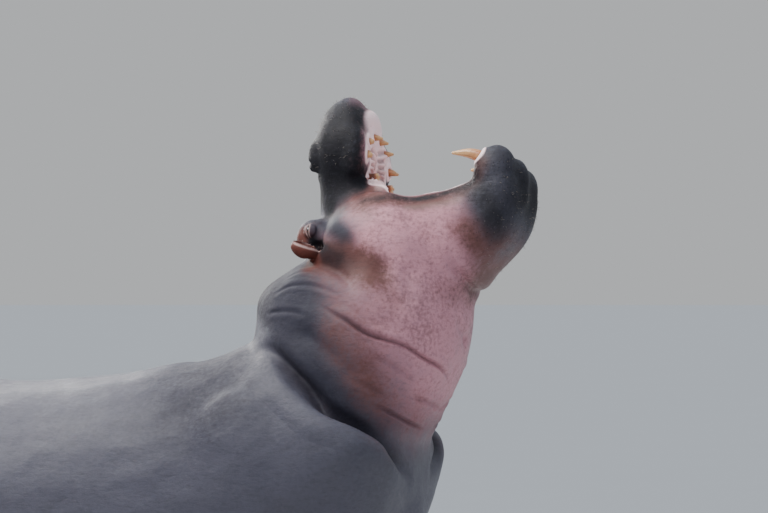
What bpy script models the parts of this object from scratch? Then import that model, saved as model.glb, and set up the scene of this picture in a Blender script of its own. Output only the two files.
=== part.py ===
"""Hippopotamus: a still, life-size model on four feet, its head thrown back and mouth wide open.

The body is laid out as lofts and ellipsoids along three straight axes (trunk, skull and lower jaw),
fused into one skin, softened, and then parted by thin cuts into the parts that a person would name.
Teeth, eyes, ears, tongue, tail and nails are modelled on their own and sit in sockets.
Lengths are metres: +X is ahead, +Y the animal's left, +Z up.
"""
import math

import bmesh
import bpy
import numpy as np
from mathutils import Matrix, Vector

# ---- driving dimensions -------------------------------------------------------------------------

HEAD_TILT = 97.0        # direction in which the upper jaw points, degrees above level
JAW_TILT = 23.0         # direction in which the lower jaw points
LEAN = 12.5             # how far the raised head leans over to the left, degrees
LEAN_FROM = 1.25        # height at which the lean begins
LEAN_FULL = 1.75        # height from which all of it acts
LEAN_PIVOT = 1.45

FRONT_STEP = 0.04       # how far the left forefoot stands ahead of the middle, and the right one behind
HIND_STEP = -0.05       # the same for the hind feet, whose left one stands behind
STANDING_DEPTH = 0.012  # how much of each foot the ground plane cuts off, to make its flat sole

EYE_RADIUS = 0.019
GAP = 0.0004            # clear space where the body is parted
SOCKET_GAP = 0.001      # clear space round a piece that sits in a socket
VOXEL = 0.012           # grain of the fused skin
SOFTEN_LARGE = 24       # rounds of smoothing where the large masses meet
SOFTEN_SMALL = 7        # rounds over the whole skin
BODY_FACES = 1650       # share of faces left in the skin after it is simplified
SHARP_ANGLE = 40.0      # edges that turn more than this stay crisp, degrees
BOX_SIZE = 8.0          # side of the boxes that part the body, larger than the animal


# ---- axes ---------------------------------------------------------------------------------------

class Axis:
    """A straight line in the middle plane, with places given along it, above it and to the left."""

    def __init__(self, x, z, slope):
        turn = math.radians(slope)
        self.slope = slope
        self.origin = Vector((x, 0.0, z))
        self.ahead = Vector((math.cos(turn), 0.0, math.sin(turn)))
        self.above = Vector((-math.sin(turn), 0.0, math.cos(turn)))
        self.left = Vector((0.0, 1.0, 0.0))

    def at(self, along, above=0.0, left=0.0):
        return self.origin + along * self.ahead + above * self.above + left * self.left


TRUNK = Axis(0.0, 0.0, 0.0)
SKULL = Axis(-0.035, 1.52, HEAD_TILT)
JAW = Axis(-0.13, 1.60, JAW_TILT)

# ---- sections -----------------------------------------------------------------------------------
# Each row is one section: along, above, its turn in degrees, half width, rise above its centre,
# drop below it, and squareness (2 is an ellipse, more is boxier).

TRUNK_SECTIONS = [
    (-2.02, 0.88, -20, 0.12, 0.14, 0.16, 2.0),
    (-1.97, 0.88, -18, 0.27, 0.26, 0.30, 2.1),
    (-1.82, 0.85, -10, 0.42, 0.41, 0.42, 2.2),
    (-1.53, 0.80, 0, 0.51, 0.525, 0.43, 2.2),
    (-1.15, 0.77, 0, 0.55, 0.530, 0.43, 2.2),
    (-0.82, 0.78, 4, 0.53, 0.538, 0.42, 2.2),
    (-0.52, 0.84, 14, 0.49, 0.530, 0.44, 2.1),
    (-0.30, 0.93, 30, 0.47, 0.500, 0.38, 2.1),
    (-0.09, 1.05, 46, 0.46, 0.490, 0.25, 2.1),
    (0.00, 1.11, 56, 0.45, 0.525, 0.14, 2.0),
    (0.05, 1.14, 56, 0.39, 0.500, 0.08, 2.0),
]
NECK_SECTIONS = [
    (-0.16, 1.02, 50, 0.34, 0.38, 0.25, 2.0),
    (-0.10, 1.18, 64, 0.36, 0.35, 0.225, 2.1),
    (-0.06, 1.30, 74, 0.36, 0.340, 0.245, 2.1),
    (-0.025, 1.42, 82, 0.345, 0.346, 0.27, 2.1),
    (-0.015, 1.54, 90, 0.305, 0.332, 0.275, 2.1),
    (-0.015, 1.63, 94, 0.25, 0.278, 0.24, 2.0),
    (-0.015, 1.69, 94, 0.16, 0.17, 0.16, 2.0),
]
SKULL_SECTIONS = [
    (0.00, 0.0, 0, 0.19, 0.15, 0.20, 2.0),
    (0.09, 0.0, 0, 0.235, 0.160, 0.23, 2.2),
    (0.18, 0.0, 0, 0.215, 0.135, 0.19, 2.2),
    (0.26, 0.0, 0, 0.165, 0.138, 0.095, 2.3),
    (0.33, 0.0, 0, 0.132, 0.139, 0.047, 2.4),
    (0.38, 0.0, 0, 0.138, 0.136, 0.043, 2.5),
    (0.43, 0.0, 0, 0.164, 0.136, 0.041, 2.7),
    (0.49, 0.0, 0, 0.172, 0.136, 0.040, 2.8),
    (0.55, 0.0, 0, 0.148, 0.125, 0.034, 2.6),
    (0.605, 0.008, 0, 0.108, 0.090, 0.024, 2.4),
    (0.640, 0.010, 0, 0.065, 0.040, 0.010, 2.2),
]
JAW_SECTIONS = [
    (0.00, -0.02, 0, 0.20, 0.10, 0.13, 2.0),
    (0.10, -0.03, 0, 0.255, 0.17, 0.18, 2.2),
    (0.22, -0.03, 0, 0.250, 0.190, 0.185, 2.3),
    (0.34, -0.03, 0, 0.195, 0.175, 0.165, 2.4),
    (0.43, -0.02, 0, 0.165, 0.150, 0.128, 2.5),
    (0.50, 0.00, 0, 0.166, 0.130, 0.112, 2.6),
    (0.555, 0.03, 0, 0.164, 0.118, 0.104, 2.8),
    (0.588, 0.05, 0, 0.148, 0.098, 0.080, 2.8),
    (0.61, 0.06, 0, 0.115, 0.060, 0.055, 2.5),
]
PALATE_SPACE = [
    (0.12, -0.12, 0, 0.05, 0.04, 0.06, 2.2),
    (0.18, -0.12, 0, 0.100, 0.085, 0.12, 2.3),
    (0.28, -0.12, 0, 0.110, 0.083, 0.30, 2.4),
    (0.40, -0.12, 0, 0.108, 0.085, 0.30, 2.4),
    (0.49, -0.12, 0, 0.125, 0.084, 0.30, 2.5),
    (0.535, -0.125, 0, 0.095, 0.070, 0.30, 2.4),
    (0.57, -0.13, 0, 0.05, 0.040, 0.30, 2.2),
]
JAW_SPACE = [
    (0.12, 0.16, 0, 0.06, 0.06, 0.07, 2.2),
    (0.20, 0.16, 0, 0.115, 0.12, 0.13, 2.4),
    (0.36, 0.17, 0, 0.115, 0.20, 0.14, 2.4),
    (0.49, 0.17, 0, 0.106, 0.20, 0.13, 2.4),
    (0.545, 0.19, 0, 0.084, 0.20, 0.11, 2.4),
    (0.580, 0.20, 0, 0.045, 0.18, 0.07, 2.2),
]
TONGUE_SECTIONS = [
    (0.15, 0.045, 0, 0.075, 0.040, 0.030, 2.3),
    (0.20, 0.050, 0, 0.090, 0.050, 0.040, 2.4),
    (0.29, 0.050, 0, 0.092, 0.045, 0.040, 2.4),
    (0.37, 0.052, 0, 0.086, 0.032, 0.035, 2.4),
    (0.415, 0.058, 0, 0.068, 0.022, 0.028, 2.3),
    (0.435, 0.062, 0, 0.040, 0.012, 0.014, 2.1),
]
TAIL_SECTIONS = [
    (-1.83, 1.13, -142, 0.050, 0.055, 0.050, 2.0),
    (-1.93, 1.08, -130, 0.046, 0.048, 0.044, 2.0),
    (-2.01, 0.99, -112, 0.036, 0.038, 0.036, 2.0),
    (-2.052, 0.89, -98, 0.026, 0.032, 0.032, 2.0),
    (-2.066, 0.79, -93, 0.018, 0.030, 0.030, 2.0),
    (-2.070, 0.71, -90, 0.013, 0.030, 0.030, 2.0),
    (-2.070, 0.675, -90, 0.007, 0.014, 0.014, 2.0),
]

# Legs, from the top down: height, ahead, out from the middle, half length, half width, squareness.
FRONT_LEG = [
    (0.95, -0.36, 0.32, 0.25, 0.15, 2.0),
    (0.72, -0.34, 0.35, 0.22, 0.15, 2.0),
    (0.52, -0.33, 0.335, 0.165, 0.132, 2.0),
    (0.36, -0.345, 0.325, 0.122, 0.112, 2.0),
    (0.22, -0.335, 0.32, 0.102, 0.102, 2.0),
    (0.12, -0.325, 0.32, 0.108, 0.112, 2.0),
    (0.05, -0.315, 0.32, 0.118, 0.12, 2.0),
    (0.00, -0.315, 0.32, 0.118, 0.12, 2.0),
]
HIND_LEG = [
    (0.98, -1.66, 0.29, 0.27, 0.17, 2.0),
    (0.74, -1.66, 0.33, 0.26, 0.17, 2.0),
    (0.53, -1.67, 0.33, 0.195, 0.14, 2.0),
    (0.37, -1.72, 0.32, 0.142, 0.114, 2.0),
    (0.25, -1.74, 0.315, 0.112, 0.1, 2.0),
    (0.14, -1.72, 0.315, 0.108, 0.104, 2.0),
    (0.05, -1.7, 0.315, 0.114, 0.115, 2.0),
    (0.00, -1.7, 0.315, 0.114, 0.115, 2.0),
]
# What is parted from the trunk as a leg: the same kind of rows, wider than the leg itself.
LEG_SPACE = [
    (0.62, 0.0, 0.0, 0.205, 0.17, 2.6),
    (0.46, 0.0, 0.0, 0.215, 0.19, 2.6),
    (0.20, 0.01, 0.0, 0.21, 0.20, 2.6),
    (-0.10, 0.03, 0.0, 0.25, 0.22, 2.6),
]
TOE_ANGLES = (-63, -21, 21, 63)
TOE_REACH = 0.088           # from the middle of the foot
TOE_HEIGHT = 0.040
TOE_SIZE = (0.052, 0.040, 0.055)
NAIL_REACH = 0.128
NAIL_HEIGHT = 0.047
NAIL_SIZE = (0.020, 0.024, 0.031)

# Teeth as curved cones: points along their axis (along, above, out from the middle), and radii.
TUSK = ([(0.560, 0.020, 0.110), (0.560, 0.085, 0.112), (0.542, 0.140, 0.113), (0.505, 0.178, 0.112),
         (0.455, 0.202, 0.110)], (0.020, 0.021, 0.020, 0.015, 0.005))
UPPER_CANINE = ([(0.440, 0.005, 0.116), (0.438, -0.036, 0.119), (0.428, -0.065, 0.120)],
                (0.014, 0.013, 0.005))
LOWER_INCISORS = {
    "inner": ([(0.470, 0.030, 0.032), (0.518, 0.080, 0.033), (0.546, 0.126, 0.034)],
              (0.016, 0.015, 0.006)),
    "outer": ([(0.465, 0.030, 0.062), (0.503, 0.075, 0.063), (0.522, 0.108, 0.064)],
              (0.012, 0.011, 0.005)),
}
UPPER_INCISORS = {
    "inner": ([(0.512, 0.000, 0.030), (0.510, -0.036, 0.031), (0.503, -0.063, 0.031)],
              (0.012, 0.011, 0.005)),
    "outer": ([(0.484, 0.000, 0.080), (0.485, -0.036, 0.082), (0.482, -0.063, 0.083)],
              (0.012, 0.011, 0.005)),
}
# Rows of molars: first and last place along the axis, above it, and out from the middle.
UPPER_MOLARS = (0.21, 0.385, -0.042, 0.078)
LOWER_MOLARS = (0.21, 0.40, 0.050, 0.112)
MOLARS_PER_ROW = 5
MOLAR_WIDTH = 0.016
MOLAR_HEIGHT = 0.020
MOLAR_WAIST = (0.72, 0.80)   # share of its width and height that a row keeps between two crowns

# Places on the skull's axis: along, above, out from the middle.
EYE_PLACE = (0.215, 0.135, 0.156)
EAR_ROOT = (0.135, 0.090, 0.185)
NOSTRIL_PLACE = (0.455, 0.143, 0.082)
NOSTRIL_SIZE = (0.022, 0.011, 0.020)
EAR_TURN = (167.0, 24.0)      # which way the ear points: degrees above level ahead, and outwards
EAR_FLARE = 66.0              # how far its opening turns up
# Place along the ear and outward from its line, then its radii along, outward and across.
EAR_KNOB = (0.0, -0.006, 0.034, 0.028, 0.030)
EAR_LEAF = (0.050, 0.0, 0.055, 0.026, 0.033)
EAR_HOLLOW = (0.054, 0.024, 0.045, 0.027, 0.026)
NOSTRIL_TURN = (30.0, 20.0)

# Planes that part the body: a point on each and its normal, which points to the head.
NECK_BASE = (Vector((0.077, 0.0, 1.153)), Vector((0.496, 0.0, 0.868)))
NECK_TOP = (Vector((0.289, 0.01, 1.543)), Vector((0.088, 0.160, 0.983)))
# This normal points from the upper jaw to the lower one.
GAPE_PLANE = (Vector((0.050, 0.08, 1.858)), Vector((0.961, -0.055, -0.271)))

# ---- colours: base colour, roughness -------------------------------------------------------------

FINISH = {
    "trunk": ((0.36, 0.34, 0.38), 0.42),
    "neck": ((0.28, 0.20, 0.23), 0.42),
    "head": ((0.20, 0.15, 0.18), 0.40),
    "lower_jaw": ((0.34, 0.22, 0.24), 0.40),
    "tail": ((0.24, 0.22, 0.25), 0.45),
    "leg": ((0.30, 0.26, 0.29), 0.45),
    "ear": ((0.24, 0.12, 0.11), 0.45),
    "eye": ((0.03, 0.015, 0.01), 0.05),
    "tongue": ((0.62, 0.30, 0.30), 0.30),
    "tusk": ((0.62, 0.48, 0.28), 0.25),
    "incisor": ((0.62, 0.46, 0.24), 0.25),
    "molars": ((0.66, 0.58, 0.44), 0.35),
    "nail": ((0.10, 0.08, 0.08), 0.40),
}


# ---- shape helpers ------------------------------------------------------------------------------

def smooth_rows(rows, steps):
    """Catmull-Rom curve through the rows, with this many steps from each row to the next."""
    rows = np.array(rows, float)
    rows = np.vstack([2 * rows[0] - rows[1], rows, 2 * rows[-1] - rows[-2]])
    curve = []
    for before, start, end, after in zip(rows, rows[1:], rows[2:], rows[3:]):
        for t in np.arange(steps) / steps:
            bend = (2 * before - 5 * start + 4 * end - after) * t**2
            bend += (3 * start - before - 3 * end + after) * t**3
            curve.append(start + ((end - before) * t + bend) / 2)
    curve.append(rows[-2])
    return [point.tolist() for point in curve]


def oval(centre, across, up, half_width, rise, drop, squareness, sides):
    """Points of one rounded section whose upper and lower halves differ in height."""
    points = []
    for angle in np.arange(sides) * 2 * math.pi / sides:
        c, s = math.cos(angle), math.sin(angle)
        out = half_width * math.copysign(abs(c) ** (2 / squareness), c)
        height = (rise if s > 0 else drop) * math.copysign(abs(s) ** (2 / squareness), s)
        points.append(centre + out * across + height * up)
    return points


def add_tube(bm, loops):
    """Closed tube through loops that have equally many points."""
    loops = [[bm.verts.new(point) for point in loop] for loop in loops]
    for near, far in zip(loops, loops[1:]):
        for k in range(len(near)):
            n = (k + 1) % len(near)
            bm.faces.new((near[k], near[n], far[n], far[k]))
    bm.faces.new(loops[0][::-1])
    bm.faces.new(loops[-1])


def add_loft(bm, axis, sections, sides=32, steps=4, grow=0.0, out=0.0):
    """Tube through sections on an axis, or beside it; grow makes it larger all round."""
    loops = []
    rows = smooth_rows(sections, steps)
    for i, (along, above, turn, width, rise, drop, squareness) in enumerate(rows):
        tilt = math.radians(axis.slope + turn)
        up = Vector((-math.sin(tilt), 0.0, math.cos(tilt)))
        ahead = Vector((math.cos(tilt), 0.0, math.sin(tilt)))
        shift = grow * ((i == len(rows) - 1) - (i == 0))
        centre = axis.at(along, above, out) + shift * ahead
        loops.append(oval(centre, axis.left, up, width + grow, rise + grow, drop + grow, squareness, sides))
    add_tube(bm, loops)


def add_limb(bm, rows, side, step, foot=(0.0, 0.0), sides=28, steps=4):
    """Leg on one side, whose foot stands step ahead of the table's place."""
    loops = []
    top = rows[0][0]
    across, ahead = Vector((0, 1, 0)), Vector((1, 0, 0))
    for height, place, out, length, width, squareness in smooth_rows(rows, steps):
        shift = step * (top - height) / top
        centre = Vector((foot[0] + place + shift, side * (foot[1] + out), height))
        loops.append(oval(centre, across, ahead, width, length, length, squareness, sides))
    add_tube(bm, loops)


def add_blob(bm, centre, radii, tilt=0.0, yaw=0.0, detail=3):
    """Ellipsoid with its radii along X, Y and Z before it tilts (nose up) and then yaws."""
    ball = bmesh.ops.create_icosphere(bm, subdivisions=detail, radius=1.0)
    turn = Matrix.Rotation(math.radians(yaw), 4, "Z") @ Matrix.Rotation(math.radians(-tilt), 4, "Y")
    place = Matrix.Translation(centre) @ turn @ Matrix.Diagonal((*radii, 1.0))
    bmesh.ops.transform(bm, matrix=place, verts=ball["verts"])


def add_horn(bm, points, radii, grow=0.0, sides=10, steps=3):
    """Tapering tooth through points, with a radius at each; its tip is closed by a small cap."""
    rows = [(*point, radius) for point, radius in zip(points, radii)]
    curve = smooth_rows(rows, steps)
    loops = []
    for i, row in enumerate(curve):
        ahead = Vector(curve[min(i + 1, len(curve) - 1)][:3]) - Vector(curve[max(i - 1, 0)][:3])
        ahead.normalize()
        across = ahead.cross(Vector((0, 1, 0)) if abs(ahead.y) < 0.9 else Vector((1, 0, 0))).normalized()
        up = across.cross(ahead)
        shift = grow * ((i == len(curve) - 1) - (i == 0))
        centre = Vector(row[:3]) + shift * ahead
        loops.append(oval(centre, across, up, row[3] + grow, row[3] + grow, row[3] + grow, 2.0, sides))
    add_tube(bm, loops)


def leaned(point):
    """Where a point of the upright animal goes as the raised head leans over."""
    share = min(max((point.z - LEAN_FROM) / (LEAN_FULL - LEAN_FROM), 0.0), 1.0)
    turn = math.radians(LEAN) * share * share * (3 - 2 * share)
    height = point.z - LEAN_PIVOT
    y = point.y * math.cos(turn) + height * math.sin(turn)
    z = LEAN_PIVOT - point.y * math.sin(turn) + height * math.cos(turn)
    return Vector((point.x, y, z))


# ---- objects ------------------------------------------------------------------------------------

def new_object(name, build, lean=True):
    """Object whose mesh the build function fills; lean carries it over with the head."""
    bm = bmesh.new()
    build(bm)
    bmesh.ops.triangulate(bm, faces=bm.faces, quad_method="FIXED")
    bmesh.ops.recalc_face_normals(bm, faces=bm.faces)
    if lean:
        for vert in bm.verts:
            vert.co = leaned(vert.co)
    mesh = bpy.data.meshes.new(name)
    bm.to_mesh(mesh)
    bm.free()
    obj = bpy.data.objects.new(name, mesh)
    bpy.context.scene.collection.objects.link(obj)
    return obj


def apply_modifiers(obj):
    graph = bpy.context.evaluated_depsgraph_get()
    mesh = bpy.data.meshes.new_from_object(obj.evaluated_get(graph))
    obj.modifiers.clear()
    obj.data = mesh


def fuse(obj, voxel):
    """Turns overlapping closed shapes into one even skin."""
    remesh = obj.modifiers.new("fuse", "REMESH")
    remesh.mode = "VOXEL"
    remesh.voxel_size = voxel


def soften(obj, iterations):
    smooth = obj.modifiers.new("soften", "SMOOTH")
    smooth.factor = 0.5
    smooth.iterations = iterations


def combine(obj, other, operation, solver="EXACT"):
    """Boolean of obj with other, which is then removed."""
    boolean = obj.modifiers.new(operation.lower(), "BOOLEAN")
    boolean.operation = operation
    boolean.object = other
    boolean.solver = solver
    apply_modifiers(obj)
    bpy.data.objects.remove(other)


# ---- the animal ---------------------------------------------------------------------------------

def large_masses(bm):
    """Trunk, neck, skull, jaw and legs, with the muscle masses that join them."""
    add_loft(bm, TRUNK, TRUNK_SECTIONS)
    add_loft(bm, TRUNK, NECK_SECTIONS)
    add_loft(bm, SKULL, SKULL_SECTIONS)
    add_loft(bm, JAW, JAW_SECTIONS)
    add_blob(bm, (-0.15, 0, 0.93), (0.27, 0.33, 0.36))
    for side in (-1, 1):
        add_limb(bm, FRONT_LEG, side, side * FRONT_STEP)
        add_limb(bm, HIND_LEG, side, side * HIND_STEP)
        add_blob(bm, (0.010, side * 0.150, 1.71), (0.155, 0.075, 0.135))
        add_blob(bm, JAW.at(0.14, -0.02, side * 0.15), (0.19, 0.125, 0.18), JAW_TILT)
        add_blob(bm, (-0.34, side * 0.335, 0.92), (0.27, 0.15, 0.38), -12)
        add_blob(bm, (-1.60, side * 0.29, 0.84), (0.36, 0.215, 0.37))


def small_masses(bm):
    """Nape, chin, front of the palate, brows, nostrils, corners of the mouth, lips, and toes."""
    add_blob(bm, (-0.165, 0.0, 1.570), (0.125, 0.200, 0.080))
    add_blob(bm, JAW.at(0.580, 0.060, 0.0), (0.045, 0.120, 0.092), -8)
    add_blob(bm, SKULL.at(0.553, -0.020, 0.0), (0.032, 0.092, 0.050))
    for side in (-1, 1):
        add_blob(bm, SKULL.at(0.205, 0.130, side * 0.113), (0.062, 0.057, 0.062))
        add_blob(bm, SKULL.at(0.462, 0.116, side * 0.078), (0.047, 0.045, 0.055))
        add_blob(bm, SKULL.at(0.290, -0.045, side * 0.118), (0.065, 0.026, 0.085))
        add_blob(bm, SKULL.at(0.45, -0.003, side * 0.135), (0.041, 0.040, 0.082))
        add_blob(bm, JAW.at(0.551, 0.096, side * 0.104), (0.066, 0.056, 0.088), -8)
        for rows, step in ((FRONT_LEG, FRONT_STEP), (HIND_LEG, HIND_STEP)):
            for angle in TOE_ANGLES:
                place = toe_place(rows, side, step, angle, TOE_REACH, TOE_HEIGHT)
                add_blob(bm, place, TOE_SIZE, yaw=angle)


def toe_place(rows, side, step, angle, reach, height):
    """Place on the rim of a foot, at an angle from straight ahead."""
    _, ahead, out, *_ = rows[-1]
    turn = math.radians(angle)
    x = ahead + side * step + reach * math.cos(turn)
    return Vector((x, side * out + reach * math.sin(turn), height))


def mouth_space(bm):
    add_loft(bm, SKULL, PALATE_SPACE, sides=24)
    add_loft(bm, JAW, JAW_SPACE, sides=24)


def make_body():
    """The whole skin as one closed body: fused, softened, opened at the mouth, and leaned over."""
    body = new_object("body", large_masses, lean=False)
    fuse(body, VOXEL)
    soften(body, SOFTEN_LARGE)
    apply_modifiers(body)
    details = new_object("details", small_masses, lean=False)
    fuse(details, VOXEL)
    apply_modifiers(details)
    combine(body, details, "UNION", "MANIFOLD")
    mouth = new_object("mouth_space", mouth_space, lean=False)
    fuse(mouth, VOXEL)
    apply_modifiers(mouth)
    combine(body, mouth, "DIFFERENCE", "MANIFOLD")
    fuse(body, VOXEL)
    soften(body, SOFTEN_SMALL)
    apply_modifiers(body)
    for vert in body.data.vertices:
        vert.co = leaned(vert.co)
    return body


def simplify(body):
    """Lowers the number of faces, most where the skin is least curved."""
    decimate = body.modifiers.new("simplify", "DECIMATE")
    decimate.ratio = BODY_FACES / (2 * len(body.data.polygons))
    apply_modifiers(body)


def half_space(name, plane, gap=0.0):
    """Large box on the far side of a plane, as its normal points, and clear of it by the gap."""
    point, normal = plane[0], plane[1].normalized()
    turn = normal.to_track_quat("Z", "Y").to_matrix().to_4x4()
    place = Matrix.Translation(point + normal * (gap + BOX_SIZE / 2))

    def build(bm):
        bmesh.ops.create_cube(bm, size=BOX_SIZE)
        bmesh.ops.transform(bm, matrix=place @ turn, verts=bm.verts)
    return new_object(name, build, lean=False)


def copy_of(obj, name):
    new = obj.copy()
    new.data = obj.data.copy()
    new.name = name
    bpy.context.scene.collection.objects.link(new)
    return new


def part_at(body, name, plane):
    """Splits what lies beyond a plane from the body as a new object, with a gap between them."""
    beyond = copy_of(body, name)
    combine(beyond, half_space("beyond", plane, GAP / 2), "INTERSECT")
    point, normal = plane
    combine(body, half_space("this_side", (point, -normal), GAP / 2), "INTERSECT")
    return beyond


def seated(name, build, holders):
    """New piece that sits in a socket in each holder; build takes a mesh and how much to grow."""
    for holder in holders:
        combine(holder, new_object("socket", lambda bm: build(bm, SOCKET_GAP)), "DIFFERENCE")
    return new_object(name, lambda bm: build(bm, 0.0))


def leg_space(bm, rows, side, step, grow=0.0):
    """Space that holds one leg and foot."""
    _, ahead, out, *_ = rows[-1]
    space = []
    for height, *place, length, width, squareness in LEG_SPACE:
        space.append([height, *place, length + grow, width + grow, squareness])
    space[0][0] += grow
    add_limb(bm, space, side, 0.0, (ahead + side * step, out), sides=12, steps=1)


def leg_at(trunk, name, rows, side, step):
    """Parts one leg from the trunk and cuts its foot flat on the ground."""
    leg = copy_of(trunk, name)
    combine(leg, new_object("space", lambda bm: leg_space(bm, rows, side, step)), "INTERSECT")
    wider = new_object("space", lambda bm: leg_space(bm, rows, side, step, SOCKET_GAP))
    combine(trunk, wider, "DIFFERENCE")
    ground = (Vector((0, 0, STANDING_DEPTH)), Vector((0, 0, 1)))
    combine(leg, half_space("ground", ground), "INTERSECT")
    return leg


def loft_piece(axis, sections, sides):
    """Build function of a plain loft."""
    return lambda bm, grow: add_loft(bm, axis, sections, sides, steps=1, grow=grow)


def tooth(axis, shape, side):
    """Build function of one curved tooth."""
    points, radii = shape
    places = [axis.at(along, above, side * out) for along, above, out in points]
    return lambda bm, grow: add_horn(bm, places, radii, grow, sides=8, steps=2)


def molar_row(axis, row, side):
    """Build function of a row of crowns that touch, as one solid."""
    first, last, above, out = row
    half = (last - first) / MOLARS_PER_ROW / 2
    sections = []
    for k in range(2 * MOLARS_PER_ROW + 1):
        share_wide, share_high = (1.0, 1.0) if k % 2 else MOLAR_WAIST
        height = MOLAR_HEIGHT * share_high
        sections.append((first + k * half, above, 0, MOLAR_WIDTH * share_wide, height, height, 2.6))
    return lambda bm, grow: add_loft(bm, axis, sections, 8, steps=1, grow=grow, out=side * out)


def eyeball(side):
    place = SKULL.at(*EYE_PLACE[:2], side * EYE_PLACE[2])
    return lambda bm, grow: add_blob(bm, place, [EYE_RADIUS + grow] * 3, detail=2)


def nail(rows, side, step, angle):
    """Build function of one nail, a small dome on the front of a toe."""
    place = toe_place(rows, side, step, angle, NAIL_REACH, NAIL_HEIGHT)
    turn = Matrix.Rotation(math.radians(angle), 4, "Z")

    def build(bm, grow):
        size = Matrix.Diagonal((*(radius + grow for radius in NAIL_SIZE), 1.0))
        ball = bmesh.ops.create_uvsphere(bm, u_segments=8, v_segments=4, radius=1.0)
        whole = Matrix.Translation(place) @ turn @ size
        bmesh.ops.transform(bm, matrix=whole, verts=ball["verts"])
    return build


# ---- ears ---------------------------------------------------------------------------------------

def ear_axes(side):
    """The ear's length, the way its opening faces, and its width, as three directions."""
    slope, out = (math.radians(angle) for angle in EAR_TURN)
    ahead = Vector((math.cos(slope), 0.0, math.sin(slope)))
    length = math.cos(out) * ahead + side * math.sin(out) * Vector((0, 1, 0))
    flare = math.radians(EAR_FLARE)
    facing = Vector((0.0, side * math.cos(flare), math.sin(flare)))
    width = length.cross(facing).normalized()
    return length, width.cross(length).normalized(), width


def add_ear_blob(bm, side, shape, grow=0.0):
    """Ellipsoid in the ear's own directions: place along and outward, then its three radii."""
    along, outward, *radii = shape
    length, facing, width = ear_axes(side)
    turn = Matrix((length, facing, width)).transposed().to_4x4()
    centre = SKULL.at(*EAR_ROOT[:2], side * EAR_ROOT[2]) + along * length + outward * facing
    ball = bmesh.ops.create_icosphere(bm, subdivisions=2, radius=1.0)
    size = Matrix.Diagonal((*(radius + grow for radius in radii), 1.0))
    bmesh.ops.transform(bm, matrix=Matrix.Translation(centre) @ turn @ size, verts=ball["verts"])


def make_ear(side, where, head):
    """A cupped leaf on a rounded root, each seated in the head."""
    ear = seated(f"ear_{where}", lambda bm, grow: add_ear_blob(bm, side, EAR_LEAF, grow), [head])
    root = seated("root", lambda bm, grow: add_ear_blob(bm, side, EAR_KNOB, grow), [head])
    combine(ear, root, "UNION")
    combine(ear, new_object("hollow", lambda bm: add_ear_blob(bm, side, EAR_HOLLOW)), "DIFFERENCE")
    return ear


# ---- the whole ----------------------------------------------------------------------------------

def finish(obj, look):
    """Gives an object its material, and its origin in the middle of its box."""
    colour, roughness = FINISH[look]
    material = bpy.data.materials.new(obj.name)
    material.use_nodes = True
    shader = material.node_tree.nodes["Principled BSDF"]
    shader.inputs["Base Color"].default_value = (*colour, 1.0)
    shader.inputs["Roughness"].default_value = roughness
    shader.inputs["Metallic"].default_value = 0.0
    obj.data.materials.clear()
    obj.data.materials.append(material)
    obj.data.shade_smooth()
    obj.data.set_sharp_from_angle(angle=math.radians(SHARP_ANGLE))
    places = [vert.co for vert in obj.data.vertices]
    low = Vector(min(place[i] for place in places) for i in range(3))
    high = Vector(max(place[i] for place in places) for i in range(3))
    middle = (low + high) / 2
    obj.data.transform(Matrix.Translation(-middle))
    obj.location = middle
    return low, high


def build_head(head, jaw, side, where):
    """Seats the teeth, eye and ear of one side; returns each piece with the name of its finish."""
    parts = {}
    holders = {"lower": (jaw, JAW), "upper": (head, SKULL)}
    shapes = {"tusk": ("lower", TUSK), "upper_canine": ("upper", UPPER_CANINE)}
    shapes.update({f"lower_incisor_{k}": ("lower", shape) for k, shape in LOWER_INCISORS.items()})
    shapes.update({f"upper_incisor_{k}": ("upper", shape) for k, shape in UPPER_INCISORS.items()})
    for name, (row, shape) in shapes.items():
        holder, axis = holders[row]
        piece = seated(f"{name}_{where}", tooth(axis, shape, side), [holder])
        parts[piece] = "incisor" if "incisor" in name else "tusk"
    for row, shape in (("upper", UPPER_MOLARS), ("lower", LOWER_MOLARS)):
        holder, axis = holders[row]
        parts[seated(f"molars_{row}_{where}", molar_row(axis, shape, side), [holder])] = "molars"
    parts[seated(f"eye_{where}", eyeball(side), [head])] = "eye"
    parts[make_ear(side, where, head)] = "ear"

    nostril = SKULL.at(*NOSTRIL_PLACE[:2], side * NOSTRIL_PLACE[2])
    tilt, yaw = NOSTRIL_TURN
    hole = new_object("hole", lambda bm: add_blob(bm, nostril, NOSTRIL_SIZE, tilt, side * yaw, 2))
    combine(head, hole, "DIFFERENCE")
    return parts


def build_legs(trunk, side, where):
    """Parts the two legs of one side from the trunk and seats their nails."""
    parts = {}
    for end, rows, step in (("front", FRONT_LEG, FRONT_STEP), ("hind", HIND_LEG, HIND_STEP)):
        leg = leg_at(trunk, f"leg_{end}_{where}", rows, side, step)
        parts[leg] = "leg"
        for number, angle in enumerate(TOE_ANGLES, 1):
            name = f"nail_{end}_{where}_{number}"
            parts[seated(name, nail(rows, side, step, angle), [leg])] = "nail"
    return parts


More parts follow.
